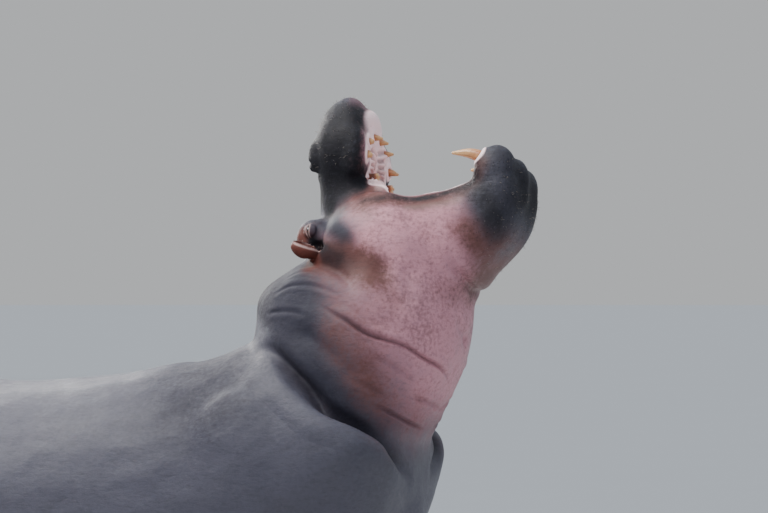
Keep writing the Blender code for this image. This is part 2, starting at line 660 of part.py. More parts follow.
def build_animal():
    body = make_body()
    simplify(body)
    neck = part_at(body, "neck", NECK_BASE)
    head = part_at(neck, "head", NECK_TOP)
    jaw = part_at(head, "lower_jaw", GAPE_PLANE)
    body.name = "trunk"
    parts = {body: "trunk", neck: "neck", head: "head", jaw: "lower_jaw"}
    parts[seated("tail", loft_piece(TRUNK, TAIL_SECTIONS, 8), [body])] = "tail"
    parts[seated("tongue", loft_piece(JAW, TONGUE_SECTIONS, 12), [jaw, head])] = "tongue"
    for side, where in ((1, "left"), (-1, "right")):
        parts.update(build_head(head, jaw, side, where))
        parts.update(build_legs(body, side, where))

    corners = [finish(obj, look) for obj, look in parts.items()]
    low = Vector(min(corner[0][i] for corner in corners) for i in range(3))
    high = Vector(max(corner[1][i] for corner in corners) for i in range(3))
    stand = bpy.data.objects.new("hippopotamus", None)
    bpy.context.scene.collection.objects.link(stand)
    stand.location = (-(low.x + high.x) / 2, -(low.y + high.y) / 2, -low.z)
    for obj in parts:
        obj.parent = stand


def main():
    for obj in list(bpy.data.objects):
        bpy.data.objects.remove(obj)
    build_animal()


if __name__ == "__main__":
    main()
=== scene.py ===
"""Looks of a hippopotamus that stands and yawns: its hide, mouth, teeth, eyes, nails and bristles.

The hide is one skin. It is laid out from the same sections and masses as the solids, in an upright
animal, at a finer grain. Folds, lids, nostrils and toes are then carved into it, and the head is leaned
over at the very end. All lengths are metres: +X is ahead, +Y the animal's left, +Z up.
"""
import math

import bmesh
import bpy
import numpy as np
from bpy.props import FloatProperty, FloatVectorProperty, IntProperty, PointerProperty
from mathutils import Matrix, Vector, noise
from mathutils.bvhtree import BVHTree


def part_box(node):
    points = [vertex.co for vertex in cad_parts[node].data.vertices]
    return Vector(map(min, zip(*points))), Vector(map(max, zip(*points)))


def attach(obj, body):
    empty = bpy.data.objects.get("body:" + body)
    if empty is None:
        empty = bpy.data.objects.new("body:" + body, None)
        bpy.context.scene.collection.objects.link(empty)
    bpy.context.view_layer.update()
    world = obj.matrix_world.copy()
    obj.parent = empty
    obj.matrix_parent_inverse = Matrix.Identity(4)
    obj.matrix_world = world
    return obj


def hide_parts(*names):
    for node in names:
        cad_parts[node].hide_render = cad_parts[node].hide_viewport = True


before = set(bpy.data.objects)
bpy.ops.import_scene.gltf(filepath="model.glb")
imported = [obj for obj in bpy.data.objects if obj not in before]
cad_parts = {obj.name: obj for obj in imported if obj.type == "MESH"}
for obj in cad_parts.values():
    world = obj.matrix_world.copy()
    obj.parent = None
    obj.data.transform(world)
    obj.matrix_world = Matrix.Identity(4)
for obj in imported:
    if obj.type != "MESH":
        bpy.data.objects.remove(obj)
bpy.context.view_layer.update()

bl_info = {
    "name": "Hippopotamus finish",
    "version": (1, 0, 0),
    "blender": (4, 5, 0),
    "location": "View3D > Sidebar > Hippopotamus",
    "description": "Skins, carves and paints the yawning hippopotamus over its packed solids",
    "category": "Object",
}

# ---- the animal's measures, as in the solids ------------------------------------------------------

HEAD_TILT = 97.0        # direction in which the upper jaw points, degrees above level
JAW_TILT = 23.0         # direction in which the lower jaw points
LEAN = 12.5             # how far the raised head leans over to the left, degrees
LEAN_FROM = 1.25        # height at which the lean begins
LEAN_FULL = 1.75        # height from which all of it acts
LEAN_PIVOT = 1.45
FRONT_STEP = 0.04       # how far the left forefoot stands ahead of the middle
HIND_STEP = -0.05
STANDING_DEPTH = 0.012  # how much of each foot the ground plane cuts off
EYE_RADIUS = 0.019

GRAIN = 0.007           # grain of the fused skin
SOFTEN_LARGE = 71       # rounds of smoothing of the fused trunk, neck, head and legs
SOFTEN_SMALL = 21       # and again once brows, lips, toes and the mouth's hollow are in


class Axis:
    """A straight line in the middle plane, with places given along it, above it and to the left."""

    def __init__(self, x, z, slope):
        turn = math.radians(slope)
        self.slope = slope
        self.origin = Vector((x, 0.0, z))
        self.ahead = Vector((math.cos(turn), 0.0, math.sin(turn)))
        self.above = Vector((-math.sin(turn), 0.0, math.cos(turn)))
        self.left = Vector((0.0, 1.0, 0.0))

    def at(self, along, above=0.0, left=0.0):
        return self.origin + along * self.ahead + above * self.above + left * self.left

    def beside(self, place, side):
        """Place told as along, above and out from the middle, on one side of the animal."""
        return self.at(place[0], place[1], side * place[2])

    def measure(self, places):
        """Along, above and left of the axis, for an array of places."""
        away = places - np.array(self.origin)
        return away @ np.array(self.ahead), away @ np.array(self.above), places[:, 1]


TRUNK = Axis(0.0, 0.0, 0.0)
SKULL = Axis(-0.035, 1.52, HEAD_TILT)
JAW = Axis(-0.13, 1.60, JAW_TILT)

# ---- sections -----------------------------------------------------------------------------------
# Each row is one section: along, above, its turn in degrees, half width, rise above its centre,
# drop below it, and squareness (2 is an ellipse, more is boxier).

TRUNK_SECTIONS = [
    (-2.02, 0.88, -20, 0.12, 0.14, 0.16, 2.0),
    (-1.97, 0.88, -18, 0.27, 0.26, 0.30, 2.1),
    (-1.82, 0.85, -10, 0.42, 0.41, 0.42, 2.2),
    (-1.53, 0.80, 0, 0.51, 0.525, 0.43, 2.2),
    (-1.15, 0.77, 0, 0.55, 0.530, 0.43, 2.2),
    (-0.82, 0.78, 4, 0.53, 0.538, 0.42, 2.2),
    (-0.52, 0.84, 14, 0.49, 0.530, 0.44, 2.1),
    (-0.30, 0.93, 30, 0.47, 0.500, 0.38, 2.1),
    (-0.09, 1.05, 46, 0.46, 0.490, 0.25, 2.1),
    (0.00, 1.11, 56, 0.45, 0.525, 0.14, 2.0),
    (0.05, 1.14, 56, 0.39, 0.500, 0.08, 2.0),
]
NECK_SECTIONS = [
    (-0.16, 1.02, 50, 0.34, 0.38, 0.25, 2.0),
    (-0.10, 1.18, 64, 0.36, 0.35, 0.225, 2.1),
    (-0.06, 1.30, 74, 0.36, 0.340, 0.245, 2.1),
    (-0.025, 1.42, 82, 0.345, 0.346, 0.27, 2.1),
    (-0.015, 1.54, 90, 0.305, 0.332, 0.275, 2.1),
    (-0.015, 1.63, 94, 0.25, 0.278, 0.24, 2.0),
    (-0.015, 1.69, 94, 0.16, 0.17, 0.16, 2.0),
]
SKULL_SECTIONS = [
    (0.00, 0.0, 0, 0.19, 0.15, 0.20, 2.0),
    (0.09, 0.0, 0, 0.235, 0.160, 0.23, 2.2),
    (0.18, 0.0, 0, 0.215, 0.135, 0.19, 2.2),
    (0.26, 0.0, 0, 0.165, 0.138, 0.095, 2.3),
    (0.33, 0.0, 0, 0.132, 0.139, 0.047, 2.4),
    (0.38, 0.0, 0, 0.138, 0.136, 0.043, 2.5),
    (0.43, 0.0, 0, 0.164, 0.136, 0.041, 2.7),
    (0.49, 0.0, 0, 0.172, 0.136, 0.040, 2.8),
    (0.55, 0.0, 0, 0.148, 0.125, 0.034, 2.6),
    (0.605, 0.008, 0, 0.108, 0.090, 0.024, 2.4),
    (0.640, 0.010, 0, 0.065, 0.040, 0.010, 2.2),
]
JAW_SECTIONS = [
    (0.00, -0.02, 0, 0.20, 0.10, 0.13, 2.0),
    (0.10, -0.03, 0, 0.255, 0.17, 0.18, 2.2),
    (0.22, -0.03, 0, 0.250, 0.190, 0.185, 2.3),
    (0.34, -0.03, 0, 0.195, 0.175, 0.165, 2.4),
    (0.43, -0.02, 0, 0.165, 0.150, 0.128, 2.5),
    (0.50, 0.00, 0, 0.166, 0.130, 0.112, 2.6),
    (0.555, 0.03, 0, 0.164, 0.118, 0.104, 2.8),
    (0.588, 0.05, 0, 0.148, 0.098, 0.080, 2.8),
    (0.61, 0.06, 0, 0.115, 0.060, 0.055, 2.5),
]
PALATE_SPACE = [
    (0.12, -0.12, 0, 0.05, 0.04, 0.06, 2.2),
    (0.18, -0.12, 0, 0.100, 0.085, 0.12, 2.3),
    (0.28, -0.12, 0, 0.110, 0.083, 0.30, 2.4),
    (0.40, -0.12, 0, 0.108, 0.085, 0.30, 2.4),
    (0.49, -0.12, 0, 0.125, 0.084, 0.30, 2.5),
    (0.535, -0.125, 0, 0.095, 0.070, 0.30, 2.4),
    (0.57, -0.13, 0, 0.05, 0.040, 0.30, 2.2),
]
JAW_SPACE = [
    (0.12, 0.16, 0, 0.06, 0.06, 0.07, 2.2),
    (0.20, 0.16, 0, 0.115, 0.12, 0.13, 2.4),
    (0.36, 0.17, 0, 0.115, 0.20, 0.14, 2.4),
    (0.49, 0.17, 0, 0.106, 0.20, 0.13, 2.4),
    (0.545, 0.19, 0, 0.084, 0.20, 0.11, 2.4),
    (0.580, 0.20, 0, 0.045, 0.18, 0.07, 2.2),
]
TONGUE_SECTIONS = [
    (0.15, 0.045, 0, 0.075, 0.040, 0.030, 2.3),
    (0.20, 0.050, 0, 0.090, 0.050, 0.040, 2.4),
    (0.29, 0.050, 0, 0.092, 0.045, 0.040, 2.4),
    (0.37, 0.052, 0, 0.086, 0.032, 0.035, 2.4),
    (0.415, 0.058, 0, 0.068, 0.022, 0.028, 2.3),
    (0.435, 0.062, 0, 0.040, 0.012, 0.014, 2.1),
]
TAIL_SECTIONS = [
    (-1.83, 1.13, -142, 0.050, 0.055, 0.050, 2.0),
    (-1.93, 1.08, -130, 0.046, 0.048, 0.044, 2.0),
    (-2.01, 0.99, -112, 0.036, 0.038, 0.036, 2.0),
    (-2.052, 0.89, -98, 0.026, 0.032, 0.032, 2.0),
    (-2.066, 0.79, -93, 0.018, 0.030, 0.030, 2.0),
    (-2.070, 0.71, -90, 0.013, 0.030, 0.030, 2.0),
    (-2.070, 0.675, -90, 0.007, 0.014, 0.014, 2.0),
]

# Legs, from the top down: height, ahead, out from the middle, half length, half width.
FRONT_LEG = [
    (0.95, -0.36, 0.32, 0.25, 0.15),
    (0.72, -0.34, 0.35, 0.22, 0.15),
    (0.52, -0.33, 0.335, 0.165, 0.132),
    (0.36, -0.345, 0.325, 0.122, 0.112),
    (0.22, -0.335, 0.32, 0.102, 0.102),
    (0.12, -0.325, 0.32, 0.108, 0.112),
    (0.05, -0.315, 0.32, 0.118, 0.12),
    (0.00, -0.315, 0.32, 0.118, 0.12),
]
HIND_LEG = [
    (0.98, -1.66, 0.29, 0.27, 0.17),
    (0.74, -1.66, 0.33, 0.26, 0.17),
    (0.53, -1.67, 0.33, 0.195, 0.14),
    (0.37, -1.72, 0.32, 0.142, 0.114),
    (0.25, -1.74, 0.315, 0.112, 0.1),
    (0.14, -1.72, 0.315, 0.108, 0.104),
    (0.05, -1.7, 0.315, 0.114, 0.115),
    (0.00, -1.7, 0.315, 0.114, 0.115),
]
LEG_SIDES = 28
LEG_STEPS = 4
LEGS = (("front", FRONT_LEG, FRONT_STEP), ("hind", HIND_LEG, HIND_STEP))
TOE_ANGLES = (-63, -21, 21, 63)
TOE_REACH = 0.088           # from the middle of the foot
TOE_HEIGHT = 0.040
TOE_SIZE = (0.052, 0.040, 0.055)
NAIL_REACH = 0.128
NAIL_HEIGHT = 0.047
NAIL_SIZE = (0.020, 0.024, 0.031)

# Teeth as curved cones: axis, points along their line (along, above, out from the middle), and radii.
TEETH = {
    "tusk": (JAW, [(0.560, 0.020, 0.110), (0.560, 0.085, 0.112), (0.542, 0.140, 0.113),
                   (0.505, 0.178, 0.112), (0.455, 0.202, 0.110)], (0.020, 0.021, 0.020, 0.015, 0.005)),
    "upper_canine": (SKULL, [(0.440, 0.005, 0.116), (0.438, -0.036, 0.119), (0.428, -0.065, 0.120)],
                     (0.014, 0.013, 0.005)),
    "lower_incisor_inner": (JAW, [(0.470, 0.030, 0.032), (0.518, 0.080, 0.033), (0.546, 0.126, 0.034)],
                            (0.016, 0.015, 0.006)),
    "lower_incisor_outer": (JAW, [(0.465, 0.030, 0.062), (0.503, 0.075, 0.063), (0.522, 0.108, 0.064)],
                            (0.012, 0.011, 0.005)),
    "upper_incisor_inner": (SKULL, [(0.512, 0.000, 0.030), (0.510, -0.036, 0.031), (0.503, -0.063, 0.031)],
                            (0.012, 0.011, 0.005)),
    "upper_incisor_outer": (SKULL, [(0.484, 0.000, 0.080), (0.485, -0.036, 0.082), (0.482, -0.063, 0.083)],
                            (0.012, 0.011, 0.005)),
}
WORN_SHORT = ("upper_canine_right", "upper_incisor_outer_right")   # worn down to stumps
HORN_SIDES = 40
HORN_STEPS = 10
# Rows of molars: first and last place along the axis, above it, and out from the middle.
MOLARS = (("upper", SKULL, (0.21, 0.385, -0.042, 0.078)), ("lower", JAW, (0.21, 0.40, 0.050, 0.112)))
MOLARS_PER_ROW = 5
MOLAR_WIDTH = 0.016
MOLAR_HEIGHT = 0.020
MOLAR_GRAIN = 0.0014

# Places on the skull's axis: along, above, out from the middle.
EYE_PLACE = (0.215, 0.135, 0.156)
EAR_ROOT = (0.135, 0.090, 0.185)
NOSTRIL_PLACE = (0.455, 0.143, 0.082)
EAR_TURN = (167.0, 24.0)      # which way the ear points: degrees above level ahead, and outwards
EAR_FLARE = 66.0              # how far its opening turns up
# Place along the ear and outward from its line, then its radii along, outward and across.
EAR_KNOB = (0.0, -0.006, 0.034, 0.028, 0.030)
EAR_LEAF = (0.050, 0.0, 0.055, 0.026, 0.033)
EAR_HOLLOW = (0.054, 0.024, 0.045, 0.027, 0.026)

# ---- measures of the finish ----------------------------------------------------------------------

SIDES = ("left", "right")
SIDES_OUT = ((1, "left"), (-1, "right"))
FINE_REACH = 0.060      # how far round eyes, ears and nostrils the skin is divided once more
EAR_GRAIN = 0.0022
TAIL_GRAIN = 0.004
COLLAR = ((-0.263, 1.389), (0.57, 0.82))   # where the neck leaves the shoulders (x, z), and its way up
WRINKLE_SLANT = -34.0   # how the fine creases of the neck run, degrees above level
WRINKLE_DEPTH = 0.0013
ANKLE_RINGS = ((0.150, 0.0050), (0.190, 0.0032), (0.245, 0.0022), (0.32, 0.0030))   # height, depth
TOE_CLEFTS = (-42, 0, 42)
LINE_STEPS = 7          # steps from one point of a drawn line to the next
QUARTER_TURN = 16.0     # how far the quarter elevation and the camera stand ahead of the right side
LID_THICKNESS = 0.0035
LID_REACH = 0.046       # how far from the middle of the eye its lids shape the skin
SLIT_HALF = 0.80        # half the slit's length and its heights, as shares of the eye's radius
SLIT_UP = 0.11
SLIT_DOWN = 0.17
LID_CREASES = ((0.55, 0.0016), (0.95, 0.0011), (1.45, 0.0012), (-0.62, 0.0015), (-1.10, 0.0010))
NOSTRIL_WIDTH = 0.007
NOSTRIL_SLIT = ((0.474, 0.162, 0.056), (0.456, 0.168, 0.074), (0.438, 0.160, 0.092), (0.424, 0.140, 0.106))
NOSTRIL_DIMPLE = ((0.408, 0.150, 0.052), (0.400, 0.150, 0.074), (0.392, 0.130, 0.098))
NOSTRIL_BUMPS = (((0.424, 0.142, 0.086), 0.018, 0.004), ((0.382, 0.138, 0.080), 0.014, 0.003),
                 ((0.478, 0.158, 0.088), 0.022, 0.003))
# Hollows of the head: place on the skull, its radii (along, above, left), depth.
HOLLOWS = (((0.163, 0.098, 0.176), (0.026, 0.030, 0.030), 0.020),
           ((0.272, 0.110, 0.130), (0.030, 0.045, 0.040), 0.006),
           ((0.465, 0.170, 0.082), (0.050, 0.045, 0.050), 0.014),
           ((0.352, -0.050, 0.125), (0.022, 0.050, 0.060), 0.016))
# The full roll of the nape, and the chin: low in the middle, filled beside it, with a hanging left lobe.
NAPE_ROLL = ((-0.33, 1.53, 0.0), (0.08, 0.075, 0.17), -0.030)
CHIN_SHAPE = (((0.605, 0.145, 0.010), (0.055, 0.060, 0.055), 0.040),
              ((0.610, 0.060, 0.055), (0.045, 0.080, 0.030), -0.010),
              ((0.610, 0.060, -0.055), (0.045, 0.080, 0.030), -0.012),
              ((0.575, 0.180, 0.110), (0.075, 0.065, 0.055), 0.040))
# The lower lip's edge: along, above and out from the jaw's axis.
LIP_LINE = ((0.13, 0.150, 0.20), (0.24, 0.140, 0.21), (0.34, 0.122, 0.18), (0.42, 0.108, 0.16),
            (0.48, 0.112, 0.16), (0.51, 0.150, 0.16))
RUGAE = 11
RUGA_START = 0.215
RUGA_PITCH = 0.024
RUGA_BOW = 0.022
RUGA_REACH = (0.006, 0.070)     # from where, and how far out, a ridge runs
PALATE_ABOVE = -0.06
RUGA_RISE = 0.0080
RUGA_GROOVE = 0.0035

LENS = 300.0
CAMERA_DISTANCE = 18.88
CAMERA_HEIGHT = 1.6707
FLOOR_RADIUS = 200.0
LIGHT_AIM = Vector((0.3, 0.0, 1.3))
# Each light: name, place, size, colour, the setting that holds its power, and its share of that.
LIGHTS = (("key", (-2.0, -1.0, 6.0), 4.0, (1.0, 0.98, 0.95), "key_power", 1.0),
          ("fill", (3.0, -5.5, 2.2), 4.0, (0.96, 0.97, 1.0), "fill_power", 1.0),
          ("rim", (-3.0, 3.4, 3.4), 2.0, (1.0, 0.98, 0.95), "key_power", 0.40))
# The air's colour by the height of the direction looked in: the horizon matches the far floor.
SKY_STOPS = ((0.0, (0.42, 0.43, 0.44)), (0.05, (0.42, 0.43, 0.44)), (0.45, (0.55, 0.60, 0.68)),
             (1.0, (0.86, 0.94, 1.0)))
SKY_STRENGTH = 1.2


# ---- shape helpers ------------------------------------------------------------------------------

def smooth_rows(rows, steps):
    """Catmull-Rom curve through the rows, with this many steps from each row to the next."""
    rows = np.array(rows, float)
    rows = np.vstack([2 * rows[0] - rows[1], rows, 2 * rows[-1] - rows[-2]])
    curve = []
    for before, start, end, after in zip(rows, rows[1:], rows[2:], rows[3:]):
        for t in np.arange(steps) / steps:
            bend = (2 * before - 5 * start + 4 * end - after) * t**2
            bend += (3 * start - before - 3 * end + after) * t**3
            curve.append(start + ((end - before) * t + bend) / 2)
    curve.append(rows[-2])
    return [point.tolist() for point in curve]


def oval(centre, across, up, half_width, rise, drop, squareness, sides):
    """Points of one rounded section whose upper and lower halves differ in height."""
    points = []
    for angle in np.arange(sides) * 2 * math.pi / sides:
        c, s = math.cos(angle), math.sin(angle)
        out = half_width * math.copysign(abs(c) ** (2 / squareness), c)
        height = (rise if s > 0 else drop) * math.copysign(abs(s) ** (2 / squareness), s)
        points.append(centre + out * across + height * up)
    return points


def add_tube(bm, loops):
    """Closed tube through loops that have equally many points."""
    loops = [[bm.verts.new(point) for point in loop] for loop in loops]
    for near, far in zip(loops, loops[1:]):
        for k in range(len(near)):
            n = (k + 1) % len(near)
            bm.faces.new((near[k], near[n], far[n], far[k]))
    bm.faces.new(loops[0][::-1])
    bm.faces.new(loops[-1])


def add_loft(bm, axis, sections, sides=32, steps=4, grow=0.0, out=0.0):
    """Tube through sections on an axis, or beside it; grow makes it larger all round."""
    loops = []
    rows = smooth_rows(sections, steps)
    for i, (along, above, turn, width, rise, drop, squareness) in enumerate(rows):
        tilt = math.radians(axis.slope + turn)
        up = Vector((-math.sin(tilt), 0.0, math.cos(tilt)))
        ahead = Vector((math.cos(tilt), 0.0, math.sin(tilt)))
        shift = grow * ((i == len(rows) - 1) - (i == 0))
        centre = axis.at(along, above, out) + shift * ahead
        loops.append(oval(centre, axis.left, up, width + grow, rise + grow, drop + grow, squareness, sides))
    add_tube(bm, loops)


def add_limb(bm, rows, side, step):
    """Leg on one side, whose foot stands step ahead of the table's place."""
    loops = []
    top = rows[0][0]
    across, ahead = Vector((0, 1, 0)), Vector((1, 0, 0))
    for height, place, out, length, width in smooth_rows(rows, LEG_STEPS):
        shift = step * (top - height) / top
        centre = Vector((place + shift, side * out, height))
        loops.append(oval(centre, across, ahead, width, length, length, 2.0, LEG_SIDES))
    add_tube(bm, loops)


def add_ball(bm, centre, radii, turn, detail):
    """Ellipsoid whose own directions a matrix turns."""
    ball = bmesh.ops.create_icosphere(bm, subdivisions=detail, radius=1.0)
    place = Matrix.Translation(centre) @ turn @ Matrix.Diagonal((*radii, 1.0))
    bmesh.ops.transform(bm, matrix=place, verts=ball["verts"])


def add_blob(bm, centre, radii, tilt=0.0, yaw=0.0, detail=3):
    """Ellipsoid with its radii along X, Y and Z before it tilts (nose up) and then yaws."""
    turn = Matrix.Rotation(math.radians(yaw), 4, "Z") @ Matrix.Rotation(math.radians(-tilt), 4, "Y")
    add_ball(bm, centre, radii, turn, detail)


# ---- places of the part in the room --------------------------------------------------------------

def leaned(places):
    """Where places of the upright animal go as the raised head leans over; takes an array."""
    places = np.asarray(places, float).reshape(-1, 3)
    share = np.clip((places[:, 2] - LEAN_FROM) / (LEAN_FULL - LEAN_FROM), 0.0, 1.0)
    turn = math.radians(LEAN) * share * share * (3 - 2 * share)
    height = places[:, 2] - LEAN_PIVOT
    y = places[:, 1] * np.cos(turn) + height * np.sin(turn)
    z = LEAN_PIVOT - places[:, 1] * np.sin(turn) + height * np.cos(turn)
    return np.stack([places[:, 0], y, z], axis=1)


def upright(place):
    """The place that leaned() moves to this one."""
    guess = np.array(place, float)
    for _ in range(12):
        guess = guess + np.array(place, float) - leaned(guess)[0]
    return Vector(guess.tolist())


def room_offset():
    """From the animal's own zero to the frame's, read from where the left eye sits in the frame."""
    low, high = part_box("eye_left")
    own = leaned([SKULL.at(*EYE_PLACE)])[0]
    return (np.array(low) + np.array(high)) / 2 - own


ROOM = room_offset()


def placed(places):
    return leaned(places) + ROOM


# ---- objects -------------------------------------------------------------------------------------

def link(name, mesh):
    obj = bpy.data.objects.new(name, mesh)
    bpy.context.scene.collection.objects.link(obj)
    return obj


def new_object(name, build):
    """Object whose mesh the build function fills, in the upright animal."""
    bm = bmesh.new()
    build(bm)
    bmesh.ops.recalc_face_normals(bm, faces=bm.faces)
    mesh = bpy.data.meshes.new(name)
    bm.to_mesh(mesh)
    bm.free()
    return link(name, mesh)


def read_vectors(items, name):
    """Array with one row for each item."""
    values = np.empty(len(items) * 3)
    items.foreach_get(name, values)
    return values.reshape(-1, 3)


def write_places(mesh, places):
    mesh.vertices.foreach_set("co", places.ravel())
    mesh.update()


def write_mask(mesh, name, values):
    attribute = mesh.attributes.new(name, "FLOAT", "POINT")
    attribute.data.foreach_set("value", np.asarray(values, np.float32))


def wave(places, *scales):
    """Smooth noise at each place, which the scales squeeze along X, Y and Z."""
    return np.array([noise.noise(Vector(place)) for place in places * np.array(scales)])


def apply_modifiers(obj):
    graph = bpy.context.evaluated_depsgraph_get()
    mesh = bpy.data.meshes.new_from_object(obj.evaluated_get(graph))
    obj.modifiers.clear()
    obj.data = mesh


def fuse(obj, grain, rounds=0):
    """Turns overlapping closed shapes into one even skin, and smooths it by some rounds."""
    remesh = obj.modifiers.new("fuse", "REMESH")
    remesh.mode = "VOXEL"
    remesh.voxel_size = grain
    if rounds:
        smooth = obj.modifiers.new("soften", "SMOOTH")
        smooth.factor = 0.5
        smooth.iterations = rounds
    apply_modifiers(obj)


def combine(obj, other, operation):
    """Boolean of obj with other, which is then removed."""
    boolean = obj.modifiers.new(operation.lower(), "BOOLEAN")
    boolean.operation = operation
    boolean.object = other
    boolean.solver = "MANIFOLD"
    apply_modifiers(obj)
    bpy.data.objects.remove(other)


def settle(obj, name, material, body="root", slot_name=None, replaces=()):
    """Gives a finished piece its material and hands it to the frame."""
    obj.data.materials.clear()
    obj.data.materials.append(material)
    obj.name = name
    obj.data.name = name
    obj.data.shade_smooth()
    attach(obj, body)
    if replaces:
        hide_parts(*replaces)
    return obj


def settle_in_room(obj, *name_and_material, **hand_over):
    """Moves a piece from the upright animal to its place in the room and settles it."""
    write_places(obj.data, placed(read_vectors(obj.data.vertices, "co")))
    settle(obj, *name_and_material, **hand_over)


# ---- the fused animal ----------------------------------------------------------------------------

def large_masses(bm):
    """Trunk, neck, skull, jaw and legs, with the muscle masses that join them."""
    add_loft(bm, TRUNK, TRUNK_SECTIONS)
    add_loft(bm, TRUNK, NECK_SECTIONS)
    add_loft(bm, SKULL, SKULL_SECTIONS)
    add_loft(bm, JAW, JAW_SECTIONS)
    add_blob(bm, (-0.15, 0, 0.93), (0.27, 0.33, 0.36))
    for side in (-1, 1):
        for _, rows, step in LEGS:
            add_limb(bm, rows, side, side * step)
        add_blob(bm, (0.010, side * 0.150, 1.71), (0.155, 0.075, 0.135))
        add_blob(bm, JAW.at(0.14, -0.02, side * 0.15), (0.19, 0.125, 0.18), JAW_TILT)
        add_blob(bm, (-0.34, side * 0.335, 0.92), (0.27, 0.15, 0.38), -12)
        add_blob(bm, (-1.60, side * 0.29, 0.84), (0.36, 0.215, 0.37))


def small_masses(bm):
    """Nape, chin, front of the palate, brows, nostrils, corners of the mouth, lips, and toes."""
    add_blob(bm, (-0.165, 0.0, 1.570), (0.125, 0.200, 0.080))
    add_blob(bm, JAW.at(0.580, 0.060, 0.0), (0.045, 0.120, 0.092), -8)
    add_blob(bm, SKULL.at(0.553, -0.020, 0.0), (0.032, 0.092, 0.050))
    for side in (-1, 1):
        add_blob(bm, SKULL.at(0.205, 0.130, side * 0.113), (0.062, 0.057, 0.062))
        add_blob(bm, SKULL.at(0.462, 0.116, side * 0.078), (0.047, 0.045, 0.055))
        add_blob(bm, SKULL.at(0.290, -0.045, side * 0.118), (0.065, 0.026, 0.085))
        add_blob(bm, SKULL.at(0.45, -0.003, side * 0.135), (0.041, 0.040, 0.082))
        add_blob(bm, JAW.at(0.551, 0.096, side * 0.104), (0.066, 0.056, 0.088), -8)
        for _, rows, step in LEGS:
            for angle in TOE_ANGLES:
                place = toe_place(rows, side, step, angle, TOE_REACH, TOE_HEIGHT)
                add_blob(bm, place, TOE_SIZE, yaw=angle)


def toe_place(rows, side, step, angle, reach, height):
    """Place on the rim of a foot, at an angle from straight ahead."""
    _, ahead, out, *_ = rows[-1]
    turn = math.radians(angle)
    x = ahead + side * step + reach * math.cos(turn)
    return Vector((x, side * out + reach * math.sin(turn), height))


def mouth_space(bm):
    add_loft(bm, SKULL, PALATE_SPACE, sides=48)
    add_loft(bm, JAW, JAW_SPACE, sides=48)


def ear_axes(side):
    """The ear's length, the way its opening faces, and its width, as three directions."""
    slope, out = (math.radians(angle) for angle in EAR_TURN)
    ahead = Vector((math.cos(slope), 0.0, math.sin(slope)))
    length = math.cos(out) * ahead + side * math.sin(out) * Vector((0, 1, 0))
    flare = math.radians(EAR_FLARE)
    facing = Vector((0.0, side * math.cos(flare), math.sin(flare)))
    width = length.cross(facing).normalized()
    return length, width.cross(length).normalized(), width


def ear_place(side, along, outward=0.0, across=0.0):
    length, facing, width = ear_axes(side)
    return SKULL.beside(EAR_ROOT, side) + along * length + outward * facing + across * width


def add_ear_blob(bm, side, shape):
    """Ellipsoid in the ear's own directions: place along and outward, then its three radii."""
    along, outward, *radii = shape
    turn = Matrix(ear_axes(side)).transposed().to_4x4()
    add_ball(bm, ear_place(side, along, outward), radii, turn, 4)


def make_ear(side):
    """A cupped leaf on a rounded root."""
    def leaf(bm):
        add_ear_blob(bm, side, EAR_LEAF)
        add_ear_blob(bm, side, EAR_KNOB)
    ear = new_object("ear", leaf)
    fuse(ear, EAR_GRAIN)
    hollow = new_object("hollow", lambda bm: add_ear_blob(bm, side, EAR_HOLLOW))
    combine(ear, hollow, "DIFFERENCE")
    fuse(ear, EAR_GRAIN, 5)
    return ear


def make_tail():
    tail = new_object("tail", lambda bm: add_loft(bm, TRUNK, TAIL_SECTIONS, sides=28, steps=8))
    fuse(tail, TAIL_GRAIN)
    return tail


def make_mouth_space():
    mouth = new_object("mouth_space", mouth_space)
    fuse(mouth, GRAIN)
    return mouth


def make_body():
    """The whole hide as one closed body, upright: fused, softened and opened at the mouth."""
    body = new_object("body", large_masses)
    fuse(body, GRAIN, SOFTEN_LARGE)
    details = new_object("details", small_masses)
    fuse(details, GRAIN)
    combine(body, details, "UNION")
    combine(body, make_mouth_space(), "DIFFERENCE")
    fuse(body, GRAIN, SOFTEN_SMALL)
    return body


# ---- carving and painting the hide ----------------------------------------------------------------

def smooth_step(value, low, high):
    """0 below low, 1 above high, and an even curve between them."""
    share = np.clip((value - low) / (high - low), 0.0, 1.0)
    return share * share * (3 - 2 * share)


